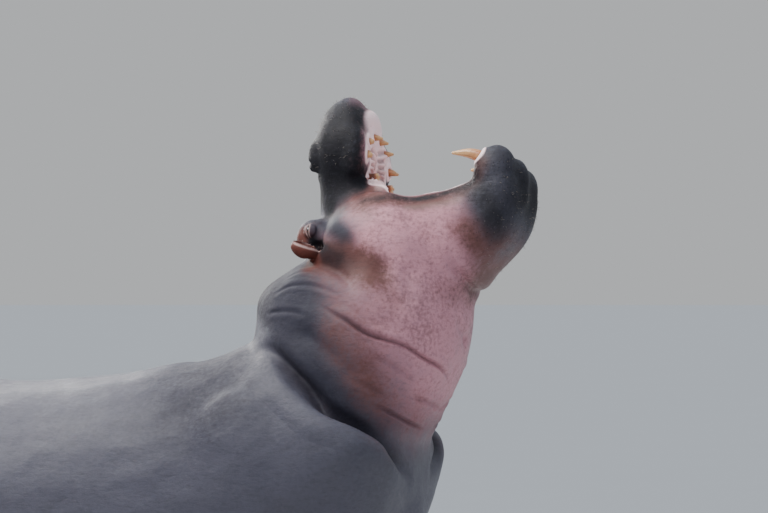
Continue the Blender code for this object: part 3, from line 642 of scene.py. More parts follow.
class Hide:
    """The skin under the maker's hands: upright places, normals and painted masks, as arrays."""

    def __init__(self, obj):
        self.obj = obj
        self.masks = {}
        self.fetch()

    def fetch(self):
        mesh = self.obj.data
        self.places = read_vectors(mesh.vertices, "co")
        pairs = np.empty(len(mesh.edges) * 2, int)
        mesh.edges.foreach_get("vertices", pairs)
        self.pairs = pairs.reshape(-1, 2)
        self.degree = np.bincount(pairs, minlength=len(self.places)).astype(float)[:, None]
        self.turn_normals()

    def turn_normals(self):
        """Writes the places to the mesh and reads its new normals."""
        write_places(self.obj.data, self.places)
        self.normals = read_vectors(self.obj.data.vertex_normals, "vector")

    def refine(self, chosen):
        """Divides each face whose corners are all chosen into four."""
        bm = bmesh.new()
        bm.from_mesh(self.obj.data)
        edges = [edge for edge in bm.edges if chosen[edge.verts[0].index] and chosen[edge.verts[1].index]]
        bmesh.ops.subdivide_edges(bm, edges=edges, cuts=1, use_grid_fill=True)
        bm.to_mesh(self.obj.data)
        bm.free()
        self.fetch()

    def average(self, values):
        """Mean of each vertex's neighbours."""
        a, b = self.pairs[:, 0], self.pairs[:, 1]
        count = len(self.places)
        total = [np.bincount(a, values[b, i], count) + np.bincount(b, values[a, i], count) for i in range(3)]
        return np.stack(total, axis=1) / self.degree

    def relax(self, weight, rounds):
        """Smooths the places by a weight between 0 and 1."""
        for _ in range(rounds):
            self.places += weight[:, None] * 0.5 * (self.average(self.places) - self.places)

    def relax_near(self, centre, reach, rounds):
        self.relax(1 - smooth_step(self.far(centre), reach * 0.7, reach * 1.5), rounds)
        self.turn_normals()

    def ready(self):
        """Prepares for strokes: surfaces to snap to, upright and leaned."""
        self.turn_normals()
        graph = bpy.context.evaluated_depsgraph_get()
        self.tree = BVHTree.FromObject(self.obj, graph)
        write_places(self.obj.data, leaned(self.places))
        graph.update()
        self.leaned_tree = BVHTree.FromObject(self.obj, graph)
        self.turn_normals()

    def snap(self, points):
        return [self.tree.find_nearest(point)[0] for point in points]

    def from_side(self, points, side=-1):
        """Points drawn on a side elevation (ahead, height), carried straight across to the skin."""
        found = []
        for x, z in points:
            hit = self.tree.ray_cast(Vector((x, side * 3.0, z)), Vector((0, -side, 0)))[0]
            if hit:
                found.append(hit)
        return found

    def from_quarter(self, points):
        """Points drawn on an elevation turned a little to the front, of the animal as it leans."""
        turn = math.radians(QUARTER_TURN)
        across = Vector((math.cos(turn), math.sin(turn), 0))
        back = Vector((math.sin(turn), -math.cos(turn), 0))
        found = []
        for h, z in points:
            hit = self.leaned_tree.ray_cast(across * h + Vector((0, 0, z)) + back * 3.0, -back)[0]
            if hit:
                found.append(upright(hit))
        return found

    def near_line(self, line, reach):
        """Vertices within reach of a line on the skin: which they are, how far, how far along, and side."""
        curve = self.snap(Vector(point) for point in smooth_rows([list(p) for p in line], LINE_STEPS))
        curve = np.array([list(point) for point in curve])
        inside = (self.places > curve.min(0) - reach) & (self.places < curve.max(0) + reach)
        which = np.flatnonzero(inside.all(1))
        places, normals = self.places[which], self.normals[which]
        best = np.full(len(which), np.inf)
        along = np.zeros(len(which))
        side = np.zeros(len(which))
        lengths = np.linalg.norm(np.diff(curve, axis=0), axis=1)
        walked = np.concatenate([[0.0], np.cumsum(lengths)])
        for k, (start, end) in enumerate(zip(curve, curve[1:])):
            run = end - start
            if lengths[k] < 1e-6:
                continue
            close = np.flatnonzero((np.abs(places - (start + end) / 2) < reach + lengths[k]).all(1))
            away = places[close] - start
            share = np.clip(away @ run / lengths[k] ** 2, 0.0, 1.0)
            away = away - share[:, None] * run
            gap = np.linalg.norm(away, axis=1)
            better = gap < best[close]
            chosen = close[better]
            best[chosen] = gap[better]
            along[chosen] = (walked[k] + share[better] * lengths[k]) / walked[-1]
            cross = np.cross(normals[chosen], run / lengths[k])
            side[chosen] = np.sign((away[better] * cross).sum(1))
        keep = best < reach
        return which[keep], best[keep], along[keep], side[keep]

    def fold(self, line, width, depth, rim=0.35, roll=0.0, ends=0.18, stain=1.0):
        """Carves one crease: a groove, a low rim on both sides, and a fuller roll on its left side. Its
        bottom gets painted shade in the fold mask.
        """
        reach = width * (7.0 if roll else 4.0)
        which, gap, along, side = self.near_line(line, reach)
        share = gap / width
        fade = smooth_step(along, 0.0, ends) * (1 - smooth_step(along, 1 - ends, 1.0))
        groove = -np.exp(-1.6 * share**2)
        groove += rim * np.exp(-1.3 * (share - 1.9) ** 2)
        if roll:
            full = (side > 0) if roll > 0 else (side < 0)
            swell = np.exp(-0.22 * (share - 2.8) ** 2) - 0.17
            groove += abs(roll) * np.where(full, swell, 0.0) * (share < 5.5) * smooth_step(share, 0.2, 1.2)
        self.places[which] += self.normals[which] * (depth * fade * groove)[:, None]
        self.stain("fold", stain * fade * np.exp(-1.2 * share**2), which)

    def far(self, spot):
        """How far each vertex is from a spot."""
        return np.linalg.norm(self.places - np.array(spot), axis=1)

    def shares(self, centre, radii, axis):
        """Squared distance of each vertex from a place on an axis, where the radii count as 1."""
        own = np.stack(axis.measure(self.places), axis=1)
        return (((own - np.array(centre)) / np.array(radii)) ** 2).sum(1)

    def press(self, centre, radii, depth, axis=SKULL):
        """Pushes the skin in round a place on an axis, or out where the depth is negative."""
        far = self.shares(centre, radii, axis)
        self.places -= self.normals * (depth * np.exp(-far))[:, None]

    def stain(self, name, amount, which=slice(None)):
        """Adds to a painted mask, or takes away where the amount is negative; it stays between 0 and 1."""
        mask = self.masks.setdefault(name, np.zeros(len(self.places)))
        amount = np.clip(amount, -1.0, 1.0)
        mask[which] = np.where(amount < 0, mask[which] * (1 + amount), 1 - (1 - mask[which]) * (1 - amount))

    def stain_line(self, name, line, width, amount=1.0, ends=0.2):
        which, gap, along, _ = self.near_line(line, width * 2.5)
        fade = smooth_step(along, 0.0, ends) * (1 - smooth_step(along, 1 - ends, 1.0)) if ends else 1.0
        self.stain(name, amount * fade * np.exp(-((gap / width) ** 2)), which)

    def stain_blob(self, name, centre, radii, amount=1.0, axis=TRUNK):
        """Soft ellipsoid of paint, with its radii along, above and left of an axis."""
        self.stain(name, amount * np.exp(-self.shares(centre, radii, axis) ** 1.2))

    def store(self):
        """Moves the skin to its place in the room and writes its masks as attributes."""
        mesh = self.obj.data
        upright_places = mesh.attributes.new("upright", "FLOAT_VECTOR", "POINT")
        upright_places.data.foreach_set("vector", self.places.astype(np.float32).ravel())
        write_places(mesh, placed(self.places))
        for name, mask in self.masks.items():
            write_mask(mesh, name, mask)


# ---- colours and sizes that a user may change ----------------------------------------------------

def tone(red, green, blue):
    """Colour told in the usual steps from 0 to 255, as the shader's linear values."""
    return tuple(c / 3294.6 if c < 10.3 else ((c / 255 + 0.055) / 1.055) ** 2.4 for c in (red, green, blue))


def colour_value(name, description, default):
    return FloatVectorProperty(name=name, description=description, default=default,
                               subtype="COLOR", min=0.0, max=1.0)


class HideSettings(bpy.types.PropertyGroup):
    """Colours and relief of the skin."""
    grey: colour_value("Grey", "Back, flanks and legs", tone(75, 74, 86))
    # Dark grey: mottling of the hide and the slate of the nape, used also for painted shade along the collar,
    # on the shoulders' sides and round the eyes.
    mottle_and_shade_grey: colour_value("Dark grey", "Mottling of the grey hide, and the nape", tone(38, 37, 49))
    pink: colour_value("Pink", "Cheeks, throat and belly", tone(194, 138, 149))
    # Brown: the skin's own brown along the lower lip and under the jaw, used also for painted shade beneath
    # the jaw and in the hollow behind the eye.
    brown: colour_value("Brown", "Under the jaw and along the lower lip", tone(98, 60, 56))
    # Red brown: ears and the eye's mound, used also for painted shade in the hollow below the ear.
    red: colour_value("Red brown", "Ears, and behind the eyes", tone(86, 40, 31))
    # Fold: painted shade at the bottom of the creases.
    fold: colour_value("Fold", "Bottom of the creases", tone(52, 28, 28))
    # Dark: lips, nostrils and the muzzle, used also for painted shade in the hollows by the eye and ear, in
    # the slits of lids and nostrils, at the top of the nape, down the snout's bridge and on the chin's side
    # turned from the light.
    dark: colour_value("Dark", "Lips, nostrils and the muzzle", tone(18, 17, 23))
    lining: colour_value("Lining", "Palate and gums", tone(250, 222, 224))
    # Pale: lid rims with a painted highlight of the wet lids, a patch by the mouth, and painted highlights on
    # the ear rims and below the lower lip.
    pale: colour_value("Pale", "Lid rims, ear rims and worn edges", tone(172, 142, 138))
    relief: FloatProperty(name="Fold relief", description="Strength of all carved folds", default=1.0,
                          min=0.0, max=2.0, subtype="FACTOR")
    crackle: FloatProperty(name="Crackle", description="Width of the fine cells of the skin",
                           default=0.0036, min=0.001, max=0.05, unit="LENGTH")


class ToothSettings(bpy.types.PropertyGroup):
    """Colours of tusks, incisors and molars."""
    ivory: colour_value("Ivory", "Worn tips", tone(206, 162, 112))
    stain: colour_value("Stain", "Towards the gums", tone(146, 66, 20))
    ridge_depth: FloatProperty(name="Ridges", description="Depth of the long ridges", default=0.0006,
                               min=0.0, max=0.003, unit="LENGTH")


class EyeSettings(bpy.types.PropertyGroup):
    """Colours of the eyes."""
    iris: colour_value("Iris", "Ring round the pupil", tone(92, 54, 28))
    white: colour_value("White", "Rim of the eyeball", tone(92, 62, 50))


class BristleSettings(bpy.types.PropertyGroup):
    """Short stiff hairs of muzzle, chin, ears and tail."""
    length: FloatProperty(name="Length", description="Length of the longest bristles of the muzzle",
                          default=0.017, min=0.0, max=0.1, unit="LENGTH")
    thickness: FloatProperty(name="Thickness", description="Across a bristle at its root",
                             default=0.0011, min=0.0002, max=0.005, unit="LENGTH")
    seed: IntProperty(name="Seed", description="Start of the random draws", default=11, min=0)


class StageSettings(bpy.types.PropertyGroup):
    """Floor, light and air."""
    floor: colour_value("Floor", "Plain pale floor", (0.56, 0.56, 0.57))
    key_power: FloatProperty(name="Key light", description="Large soft light from above", default=560.0,
                             min=0.0, unit="POWER")
    fill_power: FloatProperty(name="Fill light", description="Soft light from the viewer's side",
                              default=25.0, min=0.0, unit="POWER")


# ---- shader maths --------------------------------------------------------------------------------

class Value:
    """A node's output that takes part in expressions; each operator adds its Math node."""

    def __init__(self, finish, socket):
        self.finish = finish
        self.socket = socket

    def math(self, operation, first, second):
        return self.finish.node("ShaderNodeMath", {"operation": operation}, {0: first, 1: second})

    def __add__(self, other):
        return self.math("ADD", self, other)

    def __sub__(self, other):
        return self.math("SUBTRACT", self, other)

    def __rsub__(self, other):
        return self.math("SUBTRACT", other, self)

    def __mul__(self, other):
        return self.math("MULTIPLY", self, other)

    __radd__ = __add__
    __rmul__ = __mul__

    def clear_of(self, low, high):
        """0 below low, 1 above high, smooth between."""
        settings = {"interpolation_type": "SMOOTHSTEP"}
        return self.finish.node("ShaderNodeMapRange", settings, {0: self, 1: low, 2: high})


class Finish:
    """One material and its nodes."""

    def __init__(self, name):
        self.material = bpy.data.materials.new(name)
        self.material.use_nodes = True
        self.tree = self.material.node_tree
        self.shader = self.tree.nodes["Principled BSDF"]
        self.where = self.node("ShaderNodeTexCoord", output="Object")

    def node(self, kind, settings=None, values=None, output=0):
        """Any node: its settings first, then the values or links of its sockets."""
        node = self.tree.nodes.new(kind)
        for key, value in (settings or {}).items():
            setattr(node, key, value)
        for key, value in (values or {}).items():
            self.feed(node.inputs[key], value)
        return Value(self, node.outputs[output])

    def feed(self, socket, value):
        if isinstance(value, Value):
            self.tree.links.new(value.socket, socket)
        elif socket.type == "RGBA":
            socket.default_value = (*value, 1.0)
        else:
            socket.default_value = value

    def set(self, **values):
        """Feeds the shader's sockets; an underscore in a name stands for a space."""
        for key, value in values.items():
            self.feed(self.shader.inputs[key.replace("_", " ")], value)

    def mask(self, name):
        return self.node("ShaderNodeAttribute", {"attribute_name": name}, output="Fac")

    def mix(self, first, second, share):
        """Colour between two colours."""
        return self.node("ShaderNodeMix", {"data_type": "RGBA"}, {0: share, 6: first, 7: second}, output=2)

    def clouds(self, size, detail=3.0, roughness=0.5, stretch=None):
        """Noise whose patches are about this size across."""
        where = self.where
        if stretch:
            where = self.node("ShaderNodeMapping", None, {"Vector": where, "Scale": stretch})
        values = {"Vector": where, "Scale": 1.0 / size, "Detail": detail, "Roughness": roughness}
        return self.node("ShaderNodeTexNoise", None, values)

    def cells(self, size, feature="F1", where=None):
        """Distance from the middle of cells of about this size, or to their edge."""
        values = {"Vector": where or self.where, "Scale": 1.0 / size}
        return self.node("ShaderNodeTexVoronoi", {"feature": feature}, values, output="Distance")

    def bump(self, height, distance, strength, under=None):
        values = {"Height": height, "Distance": distance, "Strength": strength}
        if under:
            values["Normal"] = under
        return self.node("ShaderNodeBump", None, values)


# ---- finishes ------------------------------------------------------------------------------------

def hide_finish():
    """Wet, finely crackled skin: grey above, pink on cheeks and throat, dark on muzzle and lips, with painted
    shade in creases and hollows and painted highlights on rims and the muzzle's grains.
    """
    own = bpy.context.scene.hippo_hide
    skin = Finish("hide")
    wander = skin.clouds(0.10, 4.0, 0.6)
    speckle = skin.clouds(0.012, 4.0, 0.65)
    blotch = skin.clouds(0.28, 5.0, 0.62)
    masks = ("slate_and_shade", "pink", "brown", "red", "dark", "lining", "pale", "fold", "pores", "rust")
    slate_and_shade, pink, brown, red, dark, lining, pale, fold, pores, rust = (skin.mask(name) for name in masks)

    ragged = (wander - 0.5) * 0.7 + (speckle - 0.5) * 0.5
    base = skin.mix(own.grey, own.mottle_and_shade_grey, (blotch - 0.42) * 1.1 + (speckle - 0.5) * 0.5)
    # Slate of the nape and neck, with painted shade along the collar, on the shoulders' sides and round the
    # eyes.
    base = skin.mix(base, own.mottle_and_shade_grey, (slate_and_shade + ragged * slate_and_shade).clear_of(0.1, 1.0) * 0.9)
    base = skin.mix(base, own.pink, (pink + ragged * pink * 1.5).clear_of(0.05, 1.0))
    mottle = (blotch + (speckle - 0.5) * 0.8).clear_of(0.40, 0.85)
    base = skin.mix(base, own.mottle_and_shade_grey, mottle * pink * 0.40)
    base = skin.mix(base, own.brown, (speckle + (wander - 0.5) * 0.6).clear_of(0.45, 0.75) * pink * 0.35)
    # Brown, partly painted shade beneath the jaw and in the hollow behind the eye.
    base = skin.mix(base, own.brown, (brown + ragged * brown * 1.8).clear_of(0.1, 1.0))
    # Red brown of ears and eyes, and painted shade in the hollow below the ear.
    base = skin.mix(base, own.red, (red + ragged * red * 1.6).clear_of(0.1, 0.9))
    # Dark muzzle, lips and nostrils, and painted shade in hollows, slits, at the nape's top and on the chin's
    # shaded side.
    base = skin.mix(base, own.dark, (dark + ragged * dark * 1.3).clear_of(0.1, 0.95))
    # Pale specks on the dark muzzle: painted glints of its wet grains.
    base = skin.mix(base, own.grey, (speckle + (wander - 0.5) * 0.8).clear_of(0.52, 0.80) * dark * 0.30)
    # Pale lid rims, and painted highlights on the ear rims, below the lower lip and on the wet lids.
    base = skin.mix(base, own.pale, (pale + ragged * pale).clear_of(0.15, 0.95))
    base = skin.mix(base, own.lining, (lining + ragged * lining * 0.6).clear_of(0.25, 0.7))
    base = skin.mix(base, own.red, rust * 0.85)
    # Painted shade at the bottom of every carved crease.
    base = skin.mix(base, own.fold, fold * 0.75)

    warp = skin.node("ShaderNodeTexNoise", None, {"Vector": skin.where, "Scale": 42.0}, "Color")
    warped = skin.node("ShaderNodeVectorMath", {"operation": "MULTIPLY_ADD"},
                       {0: warp, 1: (0.012, 0.012, 0.012), 2: skin.where})
    net = skin.cells(own.crackle, "DISTANCE_TO_EDGE", warped).clear_of(0.0, 0.12)
    grain = skin.clouds(0.016, 4.0, 0.65, (0.5, 0.8, 1.7))
    fine = skin.clouds(0.0035, 2.0, 0.6)
    pore = skin.cells(0.0105).clear_of(0.10, 0.24)
    bare = 1.0 - lining
    # Darker along the fine crackle's lines, painted shade in the cracks, and darker in patches of the grain.
    base = skin.mix(base, own.dark, ((1.0 - net) * 0.14 + (0.55 - grain).clear_of(0.0, 0.30) * 0.22) * bare)
    base = skin.mix(base, own.dark, (1.0 - pore) * (pores * 0.75 + 0.08) * bare)

    lumps = skin.bump(skin.clouds(0.030, 3.0, 0.55) + grain * 0.5, 0.006, 0.45)
    cracks = skin.bump((net * 0.4 + pore * 0.5 + fine * 0.5) * bare, 0.0012, 0.60, lumps)
    dull = dark * 0.10 + slate_and_shade * 0.16 + fold * 0.15 - lining * 0.15
    skin.set(Base_Color=base, Normal=cracks,
             Roughness=0.52 + (wander - 0.5) * 0.35 + (speckle - 0.5) * 0.3 + dull,
             Coat_Weight=(blotch.clear_of(0.35, 0.7) * 0.25 + 0.15) * (1.0 - dark) * (1.0 - slate_and_shade * 0.9),
             Coat_Roughness=0.46,
             Subsurface_Weight=0.06, Subsurface_Radius=(0.012, 0.005, 0.003), Subsurface_Scale=1.0,
             Specular_IOR_Level=0.18)
    return skin.material


def tongue_finish():
    """Wet pink flesh, blotched, with fine buds."""
    flesh = Finish("tongue")
    blotch = flesh.clouds(0.05, 4.0, 0.6)
    buds = flesh.cells(0.0028)
    base = flesh.mix(tone(190, 120, 120), tone(222, 168, 168), blotch.clear_of(0.3, 0.7))
    flesh.set(Base_Color=base, Roughness=0.22 + blotch * 0.2, Normal=flesh.bump(buds, 0.0009, 0.6),
              Coat_Weight=0.35, Coat_Roughness=0.15, Subsurface_Weight=0.12,
              Subsurface_Radius=(0.012, 0.004, 0.003), Subsurface_Scale=1.0)
    return flesh.material


def tooth_finish():
    """Ivory that is stained brown towards the gum, with fine cracks along it."""
    own = bpy.context.scene.hippo_teeth
    ivory = Finish("ivory")
    tip = ivory.mask("tip")
    streak = ivory.mask("around")
    lines = ivory.node("ShaderNodeTexNoise", {"noise_dimensions": "2D"},
                       {"Vector": ivory.node("ShaderNodeCombineXYZ", None, {0: streak * 26.0, 1: tip * 1.2}),
                        "Scale": 1.0, "Detail": 3.0})
    cloud = ivory.clouds(0.012, 4.0, 0.6)
    share = (tip + (lines - 0.5) * 0.5 + (cloud - 0.5) * 0.5).clear_of(0.42, 1.0)
    base = ivory.mix(own.stain, own.ivory, share)
    base = ivory.mix(base, tone(70, 40, 24), (1.0 - tip).clear_of(0.45, 0.85) * 0.7)
    ivory.set(Base_Color=base, Roughness=0.24 + cloud * 0.22,
              Normal=ivory.bump(lines, own.ridge_depth, 0.5),
              Coat_Weight=0.25, Coat_Roughness=0.1, Subsurface_Weight=0.08,
              Subsurface_Radius=(0.006, 0.004, 0.002), Subsurface_Scale=1.0)
    return ivory.material


def eye_finish():
    """Brown iris round a dark pupil, under a wet coat."""
    own = bpy.context.scene.hippo_eyes
    ball = Finish("eyeball")
    aim = ball.mask("aim")
    fibre = ball.clouds(0.0016, 3.0, 0.6)
    iris = ball.mix(tone(24, 14, 8), own.iris, (fibre + aim * 0.4).clear_of(0.4, 0.95))
    base = ball.mix(own.white, iris, aim.clear_of(0.45, 0.52))
    base = ball.mix(base, tone(5, 4, 4), aim.clear_of(0.80, 0.84))
    ball.set(Base_Color=base, Roughness=0.06, Coat_Weight=1.0, Coat_Roughness=0.02)
    return ball.material


def nail_finish():
    """Grey horn with long streaks and growth rings."""
    horn = Finish("nail")
    growth = horn.clouds(0.010, 3.0, 0.6, (1.0, 1.0, 0.12))
    rings = horn.clouds(0.006, 2.0, 0.5, (0.15, 0.15, 1.0))
    base = horn.mix(tone(58, 50, 50), tone(112, 100, 94), growth.clear_of(0.3, 0.75))
    horn.set(Base_Color=base, Roughness=0.38 + growth * 0.2,
             Normal=horn.bump(growth * 0.6 + rings * 0.4, 0.0012, 0.6))
    return horn.material


def bristle_finish():
    hair = Finish("bristle")
    shade = hair.mask("shade")
    base = hair.mix(tone(48, 42, 40), tone(168, 156, 144), shade)
    hair.set(Base_Color=base, Roughness=0.4)
    return hair.material


def floor_finish():
    own = bpy.context.scene.hippo_stage
    ground = Finish("floor")
    cloud = ground.clouds(1.5, 3.0, 0.5)
    tint = ground.mix(own.floor, tuple(0.97 * c for c in own.floor), cloud)
    ground.set(Base_Color=tint, Roughness=0.85)
    return ground.material


# ---- drawn folds ---------------------------------------------------------------------------------
# Each fold: its points, then width, depth, rim, roll and stain, the strength of the painted shade at its
# bottom.

NECK_FOLDS = [
    ([(-0.195, 1.535), (-0.15, 1.505), (-0.11, 1.485), (-0.08, 1.465), (-0.045, 1.445), (0.005, 1.43),
      (0.055, 1.415), (0.095, 1.39), (0.125, 1.37), (0.16, 1.35), (0.185, 1.32), (0.187, 1.285)],
     0.006, 0.010, 0.15, 0.55, 0.5),
    ([(-0.405, 1.44), (-0.37, 1.418), (-0.32, 1.387), (-0.23, 1.295), (-0.155, 1.22), (-0.05, 1.155),
      (0.03, 1.09), (0.09, 1.01)], 0.022, 0.044, 0.10, -0.42, 0.25),
    ([(-0.29, 1.47), (-0.21, 1.43), (-0.14, 1.375), (-0.085, 1.325), (-0.02, 1.285)],
     0.030, 0.012, 0.30, 0.0, 0.0),
    ([(-0.055, 1.245), (-0.01, 1.232), (0.04, 1.205), (0.075, 1.185), (0.11, 1.168), (0.125, 1.178)],
     0.006, 0.007, 0.25, 0.4, 0.35),
    ([(-0.03, 1.68), (0.01, 1.60), (0.045, 1.54), (0.06, 1.48)], 0.040, 0.008, 0.2, 0.0, 0.0),
    ([(0.06, 1.66), (0.075, 1.58), (0.10, 1.52)], 0.026, 0.006, 0.2, 0.0, 0.0),
    ([(0.175, 1.69), (0.19, 1.662), (0.21, 1.632), (0.245, 1.59), (0.275, 1.555)],
     0.014, 0.009, 0.20, 0.6, 0.1),
    ([(-0.275, 1.628), (-0.24, 1.645), (-0.18, 1.647), (-0.13, 1.625), (-0.095, 1.585), (-0.08, 1.55)],
     0.018, 0.008, 0.15, -0.4, 0.1),
    ([(-0.30, 1.60), (-0.25, 1.622), (-0.19, 1.622), (-0.15, 1.60)], 0.006, 0.0035, 0.3, 0.0, 0.1),
    ([(-0.335, 1.55), (-0.27, 1.585), (-0.19, 1.58), (-0.12, 1.55)], 0.007, 0.003, 0.3, 0.0, 0.0),
    ([(-0.35, 1.50), (-0.27, 1.51), (-0.22, 1.495)], 0.007, 0.003, 0.3, 0.0, 0.0),
    ([(-0.06, 1.40), (0.0, 1.37), (0.06, 1.335), (0.10, 1.30)], 0.010, 0.005, 0.4, 0.0, 0.15),
    ([(-0.10, 1.32), (-0.04, 1.29), (0.02, 1.265)], 0.008, 0.004, 0.4, 0.0, 0.15),
    ([(0.205, 1.48), (0.235, 1.44), (0.24, 1.39)], 0.018, 0.006, 0.3, 0.3, 0.1),
    ([(-0.212, 1.716), (-0.195, 1.704), (-0.175, 1.692)], 0.013, 0.012, 0.1, 0.0, 0.6),
    ([(0.07, 1.265), (0.12, 1.25), (0.165, 1.225)], 0.008, 0.005, 0.4, 0.0, 0.2),
]
# Drawn on a plain side elevation, both sides alike.
SIDE_FOLDS = [
    ([(-0.60, 0.55), (-0.615, 0.66), (-0.60, 0.78), (-0.56, 0.90)], 0.036, 0.014, 0.15, 0.3, 0.1),
    ([(-0.545, 0.50), (-0.55, 0.60), (-0.54, 0.70)], 0.022, 0.006, 0.2, 0.0, 0.1),
    ([(-0.66, 0.60), (-0.69, 0.72), (-0.68, 0.82)], 0.024, 0.005, 0.2, 0.0, 0.0),
    ([(-1.36, 0.52), (-1.33, 0.62), (-1.335, 0.74), (-1.37, 0.85)], 0.040, 0.014, 0.15, 0.3, 0.1),
    ([(-1.29, 0.55), (-1.265, 0.66), (-1.28, 0.76)], 0.024, 0.005, 0.2, 0.0, 0.1),
    ([(-0.14, 0.62), (-0.13, 0.74), (-0.17, 0.88), (-0.24, 1.00)], 0.032, 0.010, 0.2, 0.2, 0.1),
    ([(-1.90, 1.02), (-1.86, 0.90), (-1.88, 0.78), (-1.93, 0.68)], 0.045, 0.005, 0.2, 0.0, 0.0),
    ([(-1.50, 0.42), (-1.58, 0.40), (-1.70, 0.42), (-1.78, 0.46)], 0.016, 0.005, 0.3, 0.0, 0.1),
    ([(-0.22, 0.50), (-0.30, 0.46), (-0.42, 0.47)], 0.016, 0.005, 0.3, 0.0, 0.1),
]

# Patches of paint on both sides: mask, axis, place on it, radii, amount; some take paint away.
BLOBS = [
    # The chin's front darker: its own dark skin, with painted shade on the side turned from the light.
    ("dark", JAW, (0.615, -0.01, 0.08), (0.040, 0.10, 0.12), 0.65),
    # Brown under the jaw: the skin's own brown, with painted shade beneath the jaw.
    ("brown", JAW, (0.31, -0.19, 0.10), (0.14, 0.05, 0.10), 0.55),
    ("lining", SKULL, (0.555, -0.06, 0.04), (0.055, 0.038, 0.09), 1.0),
    ("lining", SKULL, (0.450, -0.055, 0.112), (0.080, 0.026, 0.036), 1.0),
    ("lining", SKULL, (0.285, -0.045, 0.150), (0.080, 0.060, 0.035), -1.0),
    ("brown", SKULL, (0.285, -0.060, 0.150), (0.075, 0.060, 0.05), 0.75),
    ("pale", SKULL, (0.350, -0.075, 0.130), (0.045, 0.022, 0.05), 0.8),
    ("slate_and_shade", SKULL, (0.275, 0.040, 0.150), (0.060, 0.100, 0.07), 0.90),
    ("brown", SKULL, (0.275, 0.020, 0.150), (0.050, 0.100, 0.07), 0.45),
    ("red", SKULL, (0.195, 0.170, 0.155), (0.045, 0.045, 0.06), 1.0),
    ("red", SKULL, (0.105, 0.100, 0.200), (0.045, 0.060, 0.06), 0.95),
    # Painted shade: brown in the hollow behind the eye, dark in the hollow between eye and ear, and slate
    # below the eye.
    ("brown", SKULL, (0.105, 0.010, 0.230), (0.045, 0.090, 0.06), 0.80),
    ("dark", SKULL, (0.163, 0.098, 0.180), (0.026, 0.030, 0.03), 1.0),
    ("slate_and_shade", SKULL, (0.215, 0.070, 0.180), (0.040, 0.055, 0.05), 0.85),
    ("pink", TRUNK, (-0.9, 0.35, 0.2), (0.9, 0.12, 0.30), 0.55),
    ("pink", TRUNK, (-0.40, 0.55, 0.25), (0.20, 0.18, 0.20), 0.25),
    ("pink", TRUNK, (-1.45, 0.55, 0.25), (0.25, 0.2, 0.20), 0.25),
]
# Painted shade across the shoulders' sides and the top of the nape: mask, place, radii, amount.
PAINTED_SHADE_PATCHES = [("slate_and_shade", (-0.45, 1.25, 0.0), (0.24, 0.22, 0.70), 0.92),
           ("dark", (-0.33, 1.53, 0.0), (0.13, 0.10, 0.30), 0.55)]
# Strokes of paint, drawn as the folds of the neck are: mask, points, width, amount.
MARKS = [
    ("pink", [(-0.175, 1.790), (-0.145, 1.760), (-0.115, 1.725), (-0.125, 1.695), (-0.160, 1.685)],
     0.040, -0.9),
    ("brown", [(-0.165, 1.760), (-0.125, 1.738), (-0.090, 1.715)], 0.040, -0.9),
    ("red", [(-0.165, 1.760), (-0.125, 1.738), (-0.090, 1.715)], 0.040, -0.9),
    # Painted shade of the eye's socket below the eye, in slate and dark.
    ("slate_and_shade", [(-0.165, 1.762), (-0.140, 1.742), (-0.110, 1.722), (-0.085, 1.705)], 0.042, 1.0),
    ("brown", [(-0.160, 1.735), (-0.130, 1.722), (-0.105, 1.710)], 0.030, -0.8),
    ("slate_and_shade", [(-0.160, 1.735), (-0.130, 1.722), (-0.105, 1.710)], 0.036, 0.9),
    ("dark", [(-0.155, 1.748), (-0.140, 1.735), (-0.125, 1.722)], 0.024, 0.35),
    # Painted shade in the deep hollow below the ear and behind the eye, in brown, red brown, fold colour and
    # dark.
    ("brown", [(-0.185, 1.680), (-0.145, 1.665), (-0.105, 1.650), (-0.040, 1.620)], 0.050, 0.85),
    ("red", [(-0.205, 1.690), (-0.180, 1.675), (-0.150, 1.660)], 0.030, 0.50),
    ("fold", [(-0.165, 1.668), (-0.140, 1.662), (-0.110, 1.650)], 0.038, 0.9),
    ("dark", [(-0.165, 1.672), (-0.150, 1.667), (-0.135, 1.662)], 0.032, 0.9),
    # Painted shade in the hollow at the ear's opening.
    ("dark", [(-0.210, 1.715), (-0.195, 1.704), (-0.175, 1.693)], 0.018, 1.0),
    # Brown behind the cheek near the ear, painted shade.
    ("brown", [(-0.10, 1.67), (-0.05, 1.64), (0.00, 1.60), (0.03, 1.55)], 0.050, 0.45),
    ("slate_and_shade", [(-0.150, 1.440), (-0.115, 1.390), (-0.075, 1.330), (-0.030, 1.270)], 0.070, -0.5),
    ("brown", [(-0.02, 1.850), (0.04, 1.835), (0.106, 1.828), (0.195, 1.852), (0.254, 1.890), (0.277, 1.941)],
     0.038, 0.95),
    ("dark", [(-0.02, 1.862), (0.04, 1.848), (0.106, 1.842), (0.195, 1.866), (0.250, 1.905), (0.272, 1.955)],
     0.018, 0.55),
    # Near black down the snout's bridge: the muzzle's own dark skin, with painted shade on the side turned
    # from the light.
    ("dark", [(-0.172, 1.92), (-0.168, 1.882), (-0.165, 1.838), (-0.160, 1.800)], 0.034, 0.95),
    # Darker down the chin's front edge: its own dark skin, with painted shade on the side turned from the
    # light.
    ("dark", [(0.225, 1.920), (0.255, 1.880), (0.290, 1.837), (0.318, 1.785), (0.330, 1.740)], 0.050, 0.48),
    # Brown under the jaw: the skin's own brown, with painted shade beneath the jaw.
    ("brown", [(0.240, 1.750), (0.270, 1.700), (0.295, 1.650), (0.285, 1.590)], 0.060, 0.75),
    ("brown", [(-0.150, 1.440), (-0.115, 1.390), (-0.075, 1.330), (-0.030, 1.270)], 0.070, 0.45),
    ("brown", [(-0.060, 1.870), (-0.075, 1.830), (-0.050, 1.800)], 0.050, 0.60),
]


